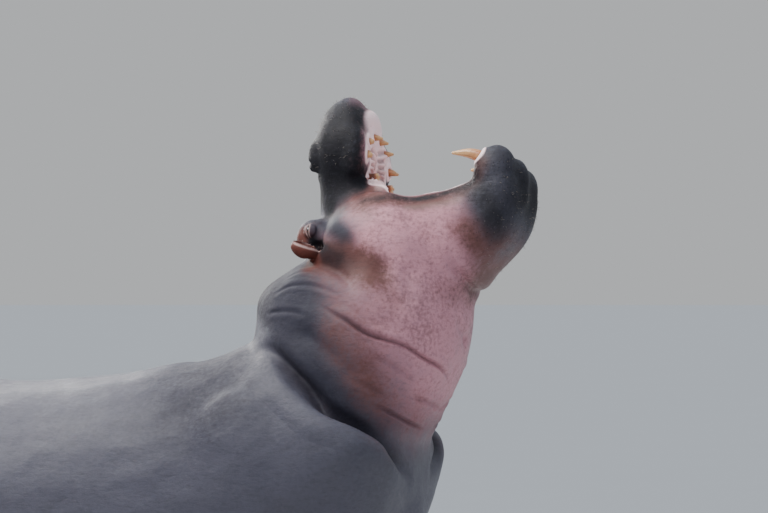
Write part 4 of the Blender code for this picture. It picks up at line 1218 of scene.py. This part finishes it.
def mirrored(line):
    """The same line on the animal's other side; turned round, so that its left side stays."""
    return [Vector((p.x, -p.y, p.z)) for p in reversed(line)]


def carve_folds(hide, relief):
    for draw, folds, far_share in ((hide.from_quarter, NECK_FOLDS, 0.75), (hide.from_side, SIDE_FOLDS, 1.0)):
        for points, width, depth, rim, roll, stain in folds:
            line = draw(points)
            if len(line) < 2:
                raise RuntimeError(f"a fold that starts at {points[0]} misses the skin")
            hide.fold(line, width, depth * relief, rim, roll, 0.3, stain)
            hide.fold(mirrored(line), width, depth * relief * far_share, rim, roll, 0.3, stain)
    hide.turn_normals()


def wrinkle(hide, relief):
    """Fine, shallow creases that follow the rolls of the neck."""
    x, y, z = hide.places.T
    near = np.flatnonzero((z > 1.05) & (x > -0.5) & (x < 0.30))
    slant = math.radians(WRINKLE_SLANT)
    across = -x[near] * math.sin(slant) + z[near] * math.cos(slant)
    along = x[near] * math.cos(slant) + z[near] * math.sin(slant)
    turned = np.stack([along, y[near], across], axis=1)
    lines = wave(turned, 5.0, 5.0, 66.0)
    place = wave(turned + np.array((0.0, 0.0, 1.4)), 3.0, 3.0, 5.0)
    skull = SKULL.measure(hide.places[near])[0]
    calm = (1 - smooth_step(skull, 0.02, 0.12)) * beyond(hide, *COLLAR, 0.02, 0.10)[near]
    depth = WRINKLE_DEPTH * relief * calm * smooth_step(place, -0.10, 0.40)
    hide.places[near] -= hide.normals[near] * (depth * np.exp(-((lines / 0.11) ** 2)))[:, None]
    hide.turn_normals()


def leg_rings(hide, relief):
    """Creases that run round the ankles, and the grooves between toes, each with painted shade at its bottom.
    """
    for side in (-1, 1):
        for _, rows, step in LEGS:
            table = smooth_rows(rows, LEG_STEPS)
            for height, depth in ANKLE_RINGS:
                row = min(table, key=lambda r: abs(r[0] - height))
                shift = side * step * (rows[0][0] - height) / rows[0][0]
                ring = []
                for angle in np.linspace(-160, 160, 15):
                    turn = math.radians(float(angle))
                    tilt = 0.012 * math.cos(turn) + 0.009 * math.sin(2.3 * turn + 40 * height)
                    ring.append(Vector((row[1] + shift + row[3] * math.cos(turn),
                                        side * row[2] + row[4] * math.sin(turn), height - tilt)))
                hide.fold(ring, 0.011, depth * relief, 0.35, 0.0, stain=0.3)
            for angle in TOE_CLEFTS:
                groove = [toe_place(rows, side, step, angle, 0.15, z) for z in (0.014, 0.05, 0.085)]
                groove.append(toe_place(rows, side, step, angle, 0.10, 0.12))
                hide.fold(groove, 0.011, 0.016 * relief, 0.2, 0.0, 0.05, 0.5)


def add_lumps(hide):
    """Slow swellings of flesh, so that no large surface is quite even."""
    offsets = wave(hide.places, 7.0) + 0.5 * wave(hide.places, 17.0)
    calm = smooth_step(hide.places[:, 2], 0.02, 0.15)
    hide.places += hide.normals * (0.0035 * offsets * calm)[:, None]


# ---- eyes ----------------------------------------------------------------------------------------

def eye_axes(side):
    """Where the eye looks, the line between its corners, and the way up between its lids."""
    gaze = (0.22 * SKULL.ahead + 0.30 * SKULL.above + side * SKULL.left).normalized()
    line = (SKULL.ahead - SKULL.ahead.dot(gaze) * gaze).normalized()
    return gaze, line, gaze.cross(line) * side


def shape_lids(hide, side):
    """Draws the skin over the eyeball as two lids that leave a slit."""
    centre = np.array(SKULL.beside(EYE_PLACE, side))
    gaze, line, up = (np.array(direction) for direction in eye_axes(side))
    away = hide.places - centre
    far = np.linalg.norm(away, axis=1)
    near = np.flatnonzero(far < LID_REACH)
    away, far = away[near], np.maximum(far[near], 1e-4)
    a, b, c = away @ line / far, away @ up / far, away @ gaze / far
    opening = np.clip(1 - (a / SLIT_HALF) ** 2, 0, None)
    inside = np.minimum(SLIT_UP * opening - b, b + SLIT_DOWN * opening)
    slit = smooth_step(inside, -0.05, 0.05) * (c > 0.2)
    rim = np.exp(-((inside + 0.10) / 0.09) ** 2)
    target = EYE_RADIUS + LID_THICKNESS + 0.0014 * rim - slit * (LID_THICKNESS + 0.004)
    hold = smooth_step(c, -0.1, 0.45) * (1 - smooth_step(far, 0.030, LID_REACH))
    new_far = far + hold * (target - far)
    hide.places[near] = centre + away / far[:, None] * new_far[:, None]
    # Pale lid rims, the lids' own pale skin with a painted highlight of their wet edge, and painted shade in
    # the slit between them.
    hide.stain("pale", 0.80 * hold * np.exp(-((inside + 0.14) / 0.12) ** 2), near)
    hide.stain("dark", 0.9 * smooth_step(inside, -0.09, 0.0) * (c > 0.2), near)
    hide.turn_normals()
    hide.relax_near(centre, 0.034, 2)
    for height, depth in LID_CREASES:
        arc = []
        for turn in np.linspace(-1.05, 1.05, 9):
            direction = gaze * math.cos(turn) + line * math.sin(turn) * 1.1 + up * height * math.cos(turn)
            arc.append(Vector((centre + direction / np.linalg.norm(direction) * 0.026).tolist()))
        hide.fold(arc, 0.0026, depth, 0.5, 0.0, stain=0.35)


def carve_nostril(hide, side):
    """Long slit on its mound, with lumps round it and a second, shorter opening of the rim below."""
    for (along, above, out), reach, height in NOSTRIL_BUMPS:
        hide.press((along, above, side * out), (reach, reach, reach * 1.4), -height)
    hide.turn_normals()
    for points, depth in ((NOSTRIL_SLIT, 0.012), (NOSTRIL_DIMPLE, 0.009)):
        line = [SKULL.beside(place, side) for place in points]
        hide.fold(line, NOSTRIL_WIDTH, depth, 0.25, 0.0, ends=0.25, stain=0.4)
        # The slit painted dark, as painted shade inside the nostril's opening.
        hide.stain_line("dark", line, NOSTRIL_WIDTH * 1.3)


# ---- mouth ---------------------------------------------------------------------------------------

def line_the_mouth(hide):
    """Paints everything that faces the mouth's hollow, and raises the ridges of the palate."""
    mouth = make_mouth_space()
    tree = BVHTree.FromObject(mouth, bpy.context.evaluated_depsgraph_get())
    bpy.data.objects.remove(mouth)
    inside = np.flatnonzero((hide.places[:, 2] > 1.45) & (hide.places[:, 0] > -0.15))
    gaps = np.array([tree.find_nearest(Vector(place))[3] for place in hide.places[inside]])
    hide.stain("lining", 1 - smooth_step(gaps, 0.006, 0.024), inside)
    for k in range(RUGAE):
        for side in (-1, 1):
            for shift, depth in ((0.0, -RUGA_RISE), (RUGA_PITCH / 2, RUGA_GROOVE)):
                ridge = [SKULL.at(RUGA_START + RUGA_PITCH * k + shift + RUGA_BOW * share, PALATE_ABOVE,
                                  side * (RUGA_REACH[0] + RUGA_REACH[1] * share))
                         for share in (0.0, 0.3, 0.65, 1.0)]
                hide.fold(ridge, 0.0065, depth, 0.3, 0.0, ends=0.15, stain=0.0)
            hide.stain_line("rust", ridge, 0.0060, 0.95, ends=0.1)
    middle = [SKULL.at(along, PALATE_ABOVE, 0.0) for along in (0.20, 0.30, 0.40, 0.47)]
    hide.fold(middle, 0.006, 0.004, 0.5, 0.0, stain=0.2)


def raise_gums(hide):
    """Swells the lining round each tooth, with a groove where the tooth comes out."""
    for axis, points, radii in TEETH.values():
        for side in (-1, 1):
            curve = np.array(smooth_rows([list(axis.beside(place, side)) for place in points], 6))
            gap = np.full(len(hide.places), np.inf)
            close = np.flatnonzero(hide.far(curve.mean(0)) < 0.14)
            for spot in curve:
                gap[close] = np.minimum(gap[close], np.linalg.norm(hide.places[close] - spot, axis=1))
            swell = np.exp(-(((gap[close] - radii[0] - 0.005) / 0.007) ** 2))
            hide.places[close] += hide.normals[close] * (0.005 * swell)[:, None]
            hide.stain("lining", 0.9 * swell, close)
            hide.stain("brown", 0.5 * np.exp(-(((gap[close] - radii[0]) / 0.004) ** 2)), close)


# ---- markings ------------------------------------------------------------------------------------

def beyond(hide, place, facing, low, high):
    """0 to 1 across a slanting plane in the side elevation: its place and the way it faces (x, z)."""
    away = (hide.places[:, 0] - place[0]) * facing[0] + (hide.places[:, 2] - place[1]) * facing[1]
    return smooth_step(away / math.hypot(*facing), low, high)


def paint_hide(hide):
    """Grey body, dusky nape, pink throat and cheeks, nearly black muzzle, dark lips, red brown ears; with
    painted shade along the collar, over shoulders and nape and in the hollows by eyes and ears, and painted
    highlights on the ear rims and below the lower lip.
    """
    skull, skull_above, _ = SKULL.measure(hide.places)
    jaw, jaw_above, _ = JAW.measure(hide.places)
    raised = beyond(hide, *COLLAR, 0.0, 0.05)
    throat = beyond(hide, (-0.11, 1.69), (0.894, 0.447), -0.16, 0.16)
    throat *= smooth_step(hide.places[:, 2], 0.95, 1.15)
    upper = smooth_step(skull, 0.18, 0.30) * smooth_step(skull_above, -0.05, 0.05)
    chin = smooth_step(jaw, 0.36, 0.52)
    muzzle = smooth_step(skull, 0.26, 0.35) * smooth_step(skull_above, -0.06, -0.02)
    muzzle *= 1 - 0.55 * smooth_step(skull, 0.575, 0.64)
    # Slate grey over the nape and the back of the neck: the hide's own colour together with painted shade.
    hide.stain("slate_and_shade", raised * (1 - throat) * (1 - 0.6 * smooth_step(skull, 0.12, 0.20)))
    hide.stain("pink", throat * (1 - upper) * (1 - chin))
    hide.stain("brown", 1.6 * throat * (1 - throat) * (1 - upper))
    hide.stain("dark", 0.92 * muzzle)
    hide.stain("pores", np.maximum(chin, smooth_step(skull, 0.40, 0.50)))
    hide.stain("dark", 0.50 * chin * smooth_step(jaw_above, -0.16, -0.02))
    # Brown under the chin and jaw: the skin's own brown, with painted shade beneath it.
    hide.stain("brown", 0.75 * chin * (1 - smooth_step(jaw_above, -0.14, -0.02)))
    # Painted shade in the groove where the neck leaves the shoulders, a little above the collar's fold.
    collar = hide.from_quarter(NECK_FOLDS[1][0])
    for line in (collar, mirrored(collar)):
        hide.stain_line("slate_and_shade", [place + Vector((0.02, 0, 0.03)) for place in line], 0.06, 0.85, ends=0.3)
    for side in (-1, 1):
        lip = [JAW.beside(place, side) for place in LIP_LINE]
        hide.stain_line("brown", lip, 0.036, 0.95, ends=0.1)
        hide.stain_line("dark", lip, 0.022, 0.60, ends=0.1)
        # A pale band below the lower lip: a painted highlight.
        hide.stain_line("pale", [place - 0.060 * JAW.above for place in lip[1:-1]], 0.024, 0.42)
        for name, axis, (along, above, out), radii, amount in BLOBS:
            hide.stain_blob(name, (along, above, side * out), radii, amount, axis)
        for share in np.linspace(0.0, 1.0, 6):
            far = hide.far(ear_place(side, 0.105 * float(share)))
            hide.stain("red", 1 - smooth_step(far, 0.030, 0.050))
        # Pale ear rims: a painted highlight where the rims catch the light.
        rim = [ear_place(side, EAR_LEAF[0] + 0.052 * math.cos(angle), 0.012, 0.031 * math.sin(angle))
               for angle in np.linspace(0.0, 2 * math.pi, 25)]
        hide.stain_line("pale", rim, 0.0045, 0.9, ends=0.02)
    # Painted shade on the shoulders' sides and the nape's top.
    for name, centre, radii, amount in PAINTED_SHADE_PATCHES:
        hide.stain_blob(name, centre, radii, amount)
    for name, points, width, amount in MARKS:
        line = hide.from_quarter(points)
        for stroke in (line, mirrored(line)):
            hide.stain_line(name, stroke, width, amount, ends=0)


# ---- the pieces ----------------------------------------------------------------------------------

def cut_soles(obj):
    """Cuts each foot flat at floor level."""
    bm = bmesh.new()
    bm.from_mesh(obj.data)
    cut = bmesh.ops.bisect_plane(bm, geom=bm.verts[:] + bm.edges[:] + bm.faces[:], dist=1e-6,
                                 plane_co=(0, 0, STANDING_DEPTH), plane_no=(0, 0, -1), clear_outer=True)
    edges = [item for item in cut["geom_cut"] if isinstance(item, bmesh.types.BMEdge)]
    for edge in edges:
        edge.smooth = False
    bmesh.ops.holes_fill(bm, edges=edges, sides=0)
    bm.to_mesh(obj.data)
    bm.free()


def model_hide():
    own = bpy.context.scene.hippo_hide
    body = make_body()
    cut_soles(body)
    hide = Hide(body)
    x, _, z = hide.places.T
    hide.refine(((x + 0.34) * 0.5 + (z - 1.08) * 0.866 > 0) | (z < 0.16))
    hide.relax(smooth_step(hide.places[:, 2], 1.0, 1.2), 3)
    spots = [SKULL.beside(place, side) for side in (-1, 1) for place in (EYE_PLACE, EAR_ROOT, NOSTRIL_PLACE)]
    hide.refine(np.any([hide.far(spot) < FINE_REACH for spot in spots], axis=0))
    hide.turn_normals()
    for side in (-1, 1):
        combine(hide.obj, make_ear(side), "UNION")
    combine(hide.obj, make_tail(), "UNION")
    hide.fetch()
    for side in (-1, 1):
        hide.relax_near(SKULL.beside(EAR_ROOT, side), 0.038, 12)
    hide.relax_near(Vector((-1.90, 0, 1.10)), 0.09, 10)
    add_lumps(hide)
    for side in (-1, 1):
        for (along, above, out), radii, depth in HOLLOWS:
            hide.press((along, above, side * out), radii, depth)
    for place, radii, depth in CHIN_SHAPE:
        hide.press(place, radii, depth, JAW)
    hide.press(*NAPE_ROLL, axis=TRUNK)
    hide.ready()
    carve_folds(hide, own.relief)
    wrinkle(hide, own.relief)
    leg_rings(hide, own.relief)
    for side in (-1, 1):
        shape_lids(hide, side)
        carve_nostril(hide, side)
    hide.turn_normals()
    line_the_mouth(hide)
    raise_gums(hide)
    paint_hide(hide)
    hide.store()
    return hide.obj


def upright_skin(obj):
    """Surface of the finished hide as it was before the head leaned, to set bristles on."""
    mesh = obj.data.copy()
    write_places(mesh, read_vectors(mesh.attributes["upright"].data, "vector"))
    bare = link("bare", mesh)
    tree = BVHTree.FromObject(bare, bpy.context.evaluated_depsgraph_get())
    bpy.data.objects.remove(bare)
    obj.data.attributes.remove(obj.data.attributes["upright"])
    return tree


# ---- teeth, eyes, tongue, nails, bristles ---------------------------------------------------------

def make_horn(name, axis, points, radii, side):
    """One curved tooth with a rounded tip, painted from root to tip and round about."""
    places = [axis.beside(place, side) for place in points]
    rows = smooth_rows([(*place, radius) for place, radius in zip(places, radii)], HORN_STEPS)
    loops, tips, turns = [], [], []
    for i, row in enumerate(rows):
        ahead = Vector(rows[min(i + 1, len(rows) - 1)][:3]) - Vector(rows[max(i - 1, 0)][:3])
        ahead.normalize()
        across = ahead.cross(Vector((0, 1, 0)) if abs(ahead.y) < 0.9 else Vector((1, 0, 0))).normalized()
        up = across.cross(ahead)
        share = i / (len(rows) - 1)
        worn = 1.0 - 0.10 * float(smooth_step(share, 0.8, 1.0))
        loop = []
        for k in range(HORN_SIDES):
            angle = 2 * math.pi * k / HORN_SIDES
            ridge = 1.0 + 0.020 * math.cos(7 * angle) + 0.012 * math.cos(13 * angle + 1.0)
            radius = row[3] * ridge * worn
            loop.append(Vector(row[:3]) + radius * (math.cos(angle) * across + math.sin(angle) * up))
            tips.append(share)
            turns.append(abs(1 - 2 * k / HORN_SIDES))
        loops.append(loop)
    cap_from = Vector(rows[-1][:3])
    for lift, shrink in ((0.35, 0.90), (0.62, 0.66), (0.78, 0.36)):
        centre = cap_from + ahead * rows[-1][3] * lift
        loops.append([centre + (spot - cap_from) * shrink for spot in loops[len(rows) - 1]])
        tips += [1.0] * HORN_SIDES
        turns += turns[:HORN_SIDES]
    tooth = new_object(name, lambda bm: add_tube(bm, loops))
    write_mask(tooth.data, "tip", tips)
    write_mask(tooth.data, "around", turns)
    return tooth


def worn_down(points, radii):
    """The same tooth with more than half of its last stretch gone."""
    last = [a + 0.4 * (b - a) for a, b in zip(points[-2], points[-1])]
    return [*points[:-1], last], (*radii[:-1], 0.75 * radii[-2])


def make_molars(name, axis, row, side):
    """A row of crowns that touch, each with two pairs of worn cusps."""
    first, last, above, out = row
    pitch = (last - first) / MOLARS_PER_ROW
    lift = 1 if axis is JAW else -1

    def crowns(bm):
        for k in range(MOLARS_PER_ROW):
            middle = first + (k + 0.5) * pitch
            crown = [(middle + share * pitch * 0.52, above, 0, MOLAR_WIDTH * wide, MOLAR_HEIGHT * 0.86,
                      MOLAR_HEIGHT * 0.86, 2.8)
                     for share, wide in ((-1, 0.62), (-0.6, 0.93), (0, 0.9), (0.6, 0.95), (1, 0.62))]
            add_loft(bm, axis, crown, sides=24, steps=3, out=side * out)
            for ahead in (-0.24, 0.24):
                for across in (-0.5, 0.5):
                    place = axis.at(middle + ahead * pitch, above + lift * MOLAR_HEIGHT * 0.72,
                                    side * out + across * MOLAR_WIDTH)
                    add_blob(bm, place, (0.0058, 0.0062, 0.0058), detail=2)
    molars = new_object(name, crowns)
    fuse(molars, MOLAR_GRAIN, 3)
    places = read_vectors(molars.data.vertices, "co")
    _, height, _ = axis.measure(places)
    tip = smooth_step(lift * (height - above), 0.0, MOLAR_HEIGHT)
    write_mask(molars.data, "tip", tip)
    write_mask(molars.data, "around", places[:, 0] * 20 % 1.0)
    return molars


def make_eyeball(side):
    """Ball with a bulging cornea, painted by how near each place is to where it looks."""
    centre = SKULL.beside(EYE_PLACE, side)
    gaze = eye_axes(side)[0]
    turn = gaze.to_track_quat("Z", "Y").to_matrix().to_4x4()

    def ball(bm):
        sphere = bmesh.ops.create_uvsphere(bm, u_segments=48, v_segments=40, radius=1.0)
        for vert in sphere["verts"]:
            bulge = float(smooth_step(vert.co.z, 0.80, 1.0))
            vert.co *= EYE_RADIUS * (0.96 + 0.035 * bulge)
        bmesh.ops.transform(bm, matrix=Matrix.Translation(centre) @ turn, verts=sphere["verts"])
    eye = new_object("eye", ball)
    aims = [(vert.co - centre).normalized().dot(gaze) for vert in eye.data.vertices]
    write_mask(eye.data, "aim", [max(0.0, 1.0 - math.acos(min(a, 1.0)) / (0.5 * math.pi)) for a in aims])
    return eye


def make_tongue():
    """Thick tongue that lies in the lower jaw, with a groove along its middle."""
    tongue = new_object("tongue", lambda bm: add_loft(bm, JAW, TONGUE_SECTIONS, sides=56, steps=10))
    fuse(tongue, 0.0032)
    flesh = Hide(tongue)
    flesh.relax(np.ones(len(flesh.places)), 10)
    along, above, left = JAW.measure(flesh.places)
    top = smooth_step(above, 0.06, 0.08)
    groove = np.exp(-((left / 0.008) ** 2)) * top * (1 - smooth_step(along, 0.34, 0.42))
    flesh.places += flesh.normals * (0.0012 * wave(flesh.places, 38.0) - 0.005 * groove)[:, None]
    flesh.turn_normals()
    return tongue


def make_nail(rows, side, step, angle):
    """One broad, blunt nail, flattened below and ridged from its root to its edge."""
    place = toe_place(rows, side, step, angle, NAIL_REACH, NAIL_HEIGHT)
    turn = Matrix.Rotation(math.radians(angle), 4, "Z")

    def dome(bm):
        ball = bmesh.ops.create_uvsphere(bm, u_segments=40, v_segments=28, radius=1.0)
        for vert in ball["verts"]:
            x, y, z = vert.co
            spread = 1.0 + 0.10 * max(-z, 0.0)
            ridge = 1.0 + 0.015 * math.cos(18 * math.atan2(y, max(x, 0.05)))
            floor = max(z, -0.86)
            vert.co = (x * ridge * 0.98, y * spread * 0.92, floor * 0.98)
        bmesh.ops.transform(bm, matrix=Matrix.Translation(place) @ turn @ Matrix.Diagonal((*NAIL_SIZE, 1.0)),
                            verts=ball["verts"])
    return new_object("nail", dome)


# Where bristles grow: axis, middle (along, above, out), radii, count on each side, share of the length.
BRISTLE_FIELDS = [
    (SKULL, (0.52, 0.06, 0.11), (0.10, 0.07, 0.09), 80, 1.0),
    (SKULL, (0.60, 0.04, 0.05), (0.06, 0.04, 0.09), 40, 0.9),
    (JAW, (0.57, -0.02, 0.10), (0.06, 0.14, 0.10), 90, 0.9),
    (JAW, (0.48, -0.10, 0.08), (0.12, 0.08, 0.10), 50, 0.7),
]


def add_bristle(build, root, out, reach, bend, thickness, shade, patch):
    """Tapering three-sided hair of four rings that bends as it rises."""
    ahead = out.cross(bend).normalized()
    across = out.cross(ahead)
    rings = []
    for share in (0.0, 0.35, 0.7):
        centre = root + out * (reach * share) + bend * (reach * 0.35 * share * share)
        radius = thickness / 2 * (1 - 0.75 * share)
        rings.append([centre + radius * (math.cos(t) * ahead + math.sin(t) * across)
                      for t in (0.0, 2 * math.pi / 3, 4 * math.pi / 3)])
    tip = root + out * reach + bend * reach * 0.35
    start = len(build["places"])
    build["places"] += [spot for ring in rings for spot in ring] + [tip]
    for ring in range(2):
        for k in range(3):
            a, b = start + 3 * ring + k, start + 3 * ring + (k + 1) % 3
            build["faces"].append((a, b, b + 3, a + 3))
    for k in range(3):
        build["faces"].append((start + 6 + k, start + 6 + (k + 1) % 3, start + 9))
    build["faces"].append((start + 2, start + 1, start))
    build["shades"] += [shade] * 10
    build["patches"] += [patch] * 10


def roots_in_field(draw, tree, axis, middle, radii, side, count):
    """Random places on the skin inside a soft ellipsoid, with the skin's direction out there."""
    found = []
    for _ in range(count * 4):
        own = [m + r * float(draw.uniform(-1, 1)) for m, r in zip(middle, radii)]
        spot = axis.at(own[0], own[1], side * own[2])
        place, normal, _, gap = tree.find_nearest(spot)
        if gap < 0.035:
            found.append((place, normal))
        if len(found) == count:
            break
    return found


def make_bristles(hide_tree):
    own = bpy.context.scene.hippo_bristles
    draw = np.random.default_rng(own.seed)
    build = {"places": [], "faces": [], "shades": [], "patches": []}

    def grow(place, normal, reach, bend):
        jitter = Vector([float(draw.normal(0, 0.28)) for _ in range(3)])
        out = (normal + jitter).normalized()
        reach *= 0.45 + 0.55 * float(draw.random())
        unwrap = (math.atan2(place.y, place.z - 1.2) / (2 * math.pi) + 0.5, (place.x + 2.1) / 2.8)
        shade = float(draw.random())
        add_bristle(build, place - normal * 0.001, out, reach, bend, own.thickness, shade, unwrap)

    for axis, middle, radii, count, share in BRISTLE_FIELDS:
        for side in (-1, 1):
            for place, normal in roots_in_field(draw, hide_tree, axis, middle, radii, side, count):
                grow(place, normal, own.length * share, -0.6 * axis.ahead)
    for side in (-1, 1):
        for _ in range(36):
            angle = float(draw.uniform(0, 2 * math.pi))
            rim = ear_place(side, EAR_LEAF[0] + 0.050 * math.cos(angle), 0.016, 0.030 * math.sin(angle))
            place, normal, _, _ = hide_tree.find_nearest(rim)
            grow(place, normal, 0.008, ear_axes(side)[0] * 0.6)
    for _ in range(260):
        spot = Vector((-2.07 + float(draw.uniform(-0.02, 0.02)), float(draw.uniform(-0.03, 0.03)),
                       0.70 + float(draw.uniform(-0.05, 0.05))))
        place, normal, _, _ = hide_tree.find_nearest(spot)
        grow(place, normal, 0.022, Vector((0, 0, -1.6)))

    mesh = bpy.data.meshes.new("bristles")
    mesh.from_pydata(build["places"], [], build["faces"])
    write_mask(mesh, "shade", build["shades"])
    layer = mesh.uv_layers.new(name="OFBake")
    corner = np.empty(len(mesh.loops), int)
    mesh.loops.foreach_get("vertex_index", corner)
    patches = np.array(build["patches"])[corner]
    spread = np.stack([corner % 10 % 3, corner % 10 // 3], axis=1) * 0.001
    layer.data.foreach_set("uv", (patches + spread).astype(np.float32).ravel())
    return link("bristles", mesh)


# ---- operators -----------------------------------------------------------------------------------

class HIPPO_OT_hide(bpy.types.Operator):
    """Model, carve and paint the skin of the whole animal as one mesh"""
    bl_idname = "hippo.hide"
    bl_label = "Hide"

    def execute(self, context):
        flesh = ["trunk", "neck", "head", "lower_jaw", "tail"]
        flesh += [f"leg_{end}_{where}" for end, _, _ in LEGS for where in SIDES]
        flesh += [f"ear_{where}" for where in SIDES]
        settle(model_hide(), "hide", hide_finish(), slot_name="hide", replaces=flesh)
        return {"FINISHED"}


class HIPPO_OT_tongue(bpy.types.Operator):
    """Lay the tongue in the lower jaw"""
    bl_idname = "hippo.tongue"
    bl_label = "Tongue"

    def execute(self, context):
        settle_in_room(make_tongue(), "tongue_flesh", tongue_finish(), slot_name="mouth", replaces=["tongue"])
        return {"FINISHED"}


class HIPPO_OT_teeth(bpy.types.Operator):
    """Set tusks, canines, incisors and molars in their places"""
    bl_idname = "hippo.teeth"
    bl_label = "Teeth"

    def execute(self, context):
        ivory = tooth_finish()
        for side, where in SIDES_OUT:
            for name, (axis, points, radii) in TEETH.items():
                node = f"{name}_{where}"
                if node in WORN_SHORT:
                    points, radii = worn_down(points, radii)
                tooth = make_horn(name, axis, points, radii, side)
                settle_in_room(tooth, f"{node}_ivory", ivory, slot_name="ivory", replaces=[node])
            for name, axis, row in MOLARS:
                molars = make_molars(name, axis, row, side)
                settle_in_room(molars, f"molar_row_{name}_{where}", ivory, slot_name="molar",
                               replaces=[f"molars_{name}_{where}"])
        return {"FINISHED"}


class HIPPO_OT_eyes(bpy.types.Operator):
    """Set both eyeballs behind their lids"""
    bl_idname = "hippo.eyes"
    bl_label = "Eyes"

    def execute(self, context):
        wet = eye_finish()
        for side, where in SIDES_OUT:
            settle_in_room(make_eyeball(side), f"eyeball_{where}", wet, slot_name="eye",
                           replaces=[f"eye_{where}"])
        return {"FINISHED"}


class HIPPO_OT_nails(bpy.types.Operator):
    """Put a broad nail on each toe"""
    bl_idname = "hippo.nails"
    bl_label = "Nails"

    def execute(self, context):
        horn = nail_finish()
        for side, where in SIDES_OUT:
            for end, rows, step in LEGS:
                for number, angle in enumerate(TOE_ANGLES, 1):
                    node = f"nail_{end}_{where}_{number}"
                    settle_in_room(make_nail(rows, side, step, angle), f"{node}_horn", horn,
                                   slot_name="nail", replaces=[node])
        return {"FINISHED"}


class HIPPO_OT_bristles(bpy.types.Operator):
    """Grow the sparse bristles of muzzle, chin, ears and tail"""
    bl_idname = "hippo.bristles"
    bl_label = "Bristles"

    def execute(self, context):
        bristles = make_bristles(upright_skin(bpy.data.objects["hide"]))
        settle_in_room(bristles, "bristles", bristle_finish(), slot_name="hide")
        return {"FINISHED"}


class HIPPO_OT_stage(bpy.types.Operator):
    """Lay the floor, hang the lights and set the camera"""
    bl_idname = "hippo.stage"
    bl_label = "Stage"

    def execute(self, context):
        own = context.scene.hippo_stage
        floor = new_object("floor", lambda bm: bmesh.ops.create_circle(
            bm, cap_ends=True, segments=96, radius=FLOOR_RADIUS))
        floor.data.materials.append(floor_finish())
        add_world()
        for name, place, size, colour, power, share in LIGHTS:
            add_area(name, place, size, getattr(own, power) * share, colour)
        add_camera()
        return {"FINISHED"}


def add_world():
    """Even air, a little brighter overhead, that meets the floor without an edge."""
    world = bpy.data.worlds.new("air")
    world.use_nodes = True
    tree = world.node_tree
    where = tree.nodes.new("ShaderNodeTexCoord")
    parts = tree.nodes.new("ShaderNodeSeparateXYZ")
    ramp = tree.nodes.new("ShaderNodeValToRGB")
    while len(ramp.color_ramp.elements) < len(SKY_STOPS):
        ramp.color_ramp.elements.new(0.5)
    for element, (height, colour) in zip(ramp.color_ramp.elements, SKY_STOPS):
        element.position = height
        element.color = (*colour, 1.0)
    sky = tree.nodes["Background"]
    sky.inputs["Strength"].default_value = SKY_STRENGTH
    tree.links.new(where.outputs["Generated"], parts.inputs[0])
    tree.links.new(parts.outputs["Z"], ramp.inputs["Fac"])
    tree.links.new(ramp.outputs["Color"], sky.inputs["Color"])
    bpy.context.scene.world = world


def add_area(name, place, size, power, colour):
    """Soft square light that looks at the animal's shoulders."""
    light = bpy.data.lights.new(name, "AREA")
    light.energy = power
    light.size = size
    light.color = colour
    obj = link(name, light)
    obj.location = place
    obj.rotation_euler = (LIGHT_AIM - Vector(place)).to_track_quat("-Z", "Y").to_euler()
    obj.visible_camera = False


def add_camera():
    camera = bpy.data.cameras.new("camera")
    camera.lens = LENS
    camera.sensor_width = 36.0
    camera.clip_end = 500.0
    obj = link("camera", camera)
    turn = math.radians(QUARTER_TURN)
    target = Vector((float(ROOM[0]), float(ROOM[1]), CAMERA_HEIGHT + float(ROOM[2])))
    obj.location = target + CAMERA_DISTANCE * Vector((math.sin(turn), -math.cos(turn), 0))
    obj.rotation_euler = (target - obj.location).to_track_quat("-Z", "Y").to_euler()
    bpy.context.scene.camera = obj


class HIPPO_PT_panel(bpy.types.Panel):
    """Every step that finishes the hippopotamus"""
    bl_label = "Hippopotamus"
    bl_idname = "HIPPO_PT_panel"
    bl_space_type = "VIEW_3D"
    bl_region_type = "UI"
    bl_category = "Hippopotamus"

    def draw(self, context):
        for operator in OPERATORS:
            self.layout.operator(operator.bl_idname)
        for group in SETTINGS:
            own = getattr(context.scene, group)
            for name in own.bl_rna.properties.keys():
                if name not in ("rna_type", "name"):
                    self.layout.prop(own, name)


OPERATORS = (HIPPO_OT_hide, HIPPO_OT_tongue, HIPPO_OT_teeth, HIPPO_OT_eyes, HIPPO_OT_nails,
             HIPPO_OT_bristles, HIPPO_OT_stage)
SETTINGS = {"hippo_hide": HideSettings, "hippo_teeth": ToothSettings, "hippo_eyes": EyeSettings,
            "hippo_bristles": BristleSettings, "hippo_stage": StageSettings}


def register():
    for kind in (*SETTINGS.values(), *OPERATORS, HIPPO_PT_panel):
        bpy.utils.register_class(kind)
    for name, group in SETTINGS.items():
        setattr(bpy.types.Scene, name, PointerProperty(type=group))


def unregister():
    for name in SETTINGS:
        delattr(bpy.types.Scene, name)
    for kind in reversed((*SETTINGS.values(), *OPERATORS, HIPPO_PT_panel)):
        bpy.utils.unregister_class(kind)


def main():
    register()
    bpy.ops.hippo.hide()
    bpy.ops.hippo.tongue()
    bpy.ops.hippo.teeth()
    bpy.ops.hippo.eyes()
    bpy.ops.hippo.nails()
    bpy.ops.hippo.bristles()
    bpy.ops.hippo.stage()


if __name__ == "__main__":
    main()
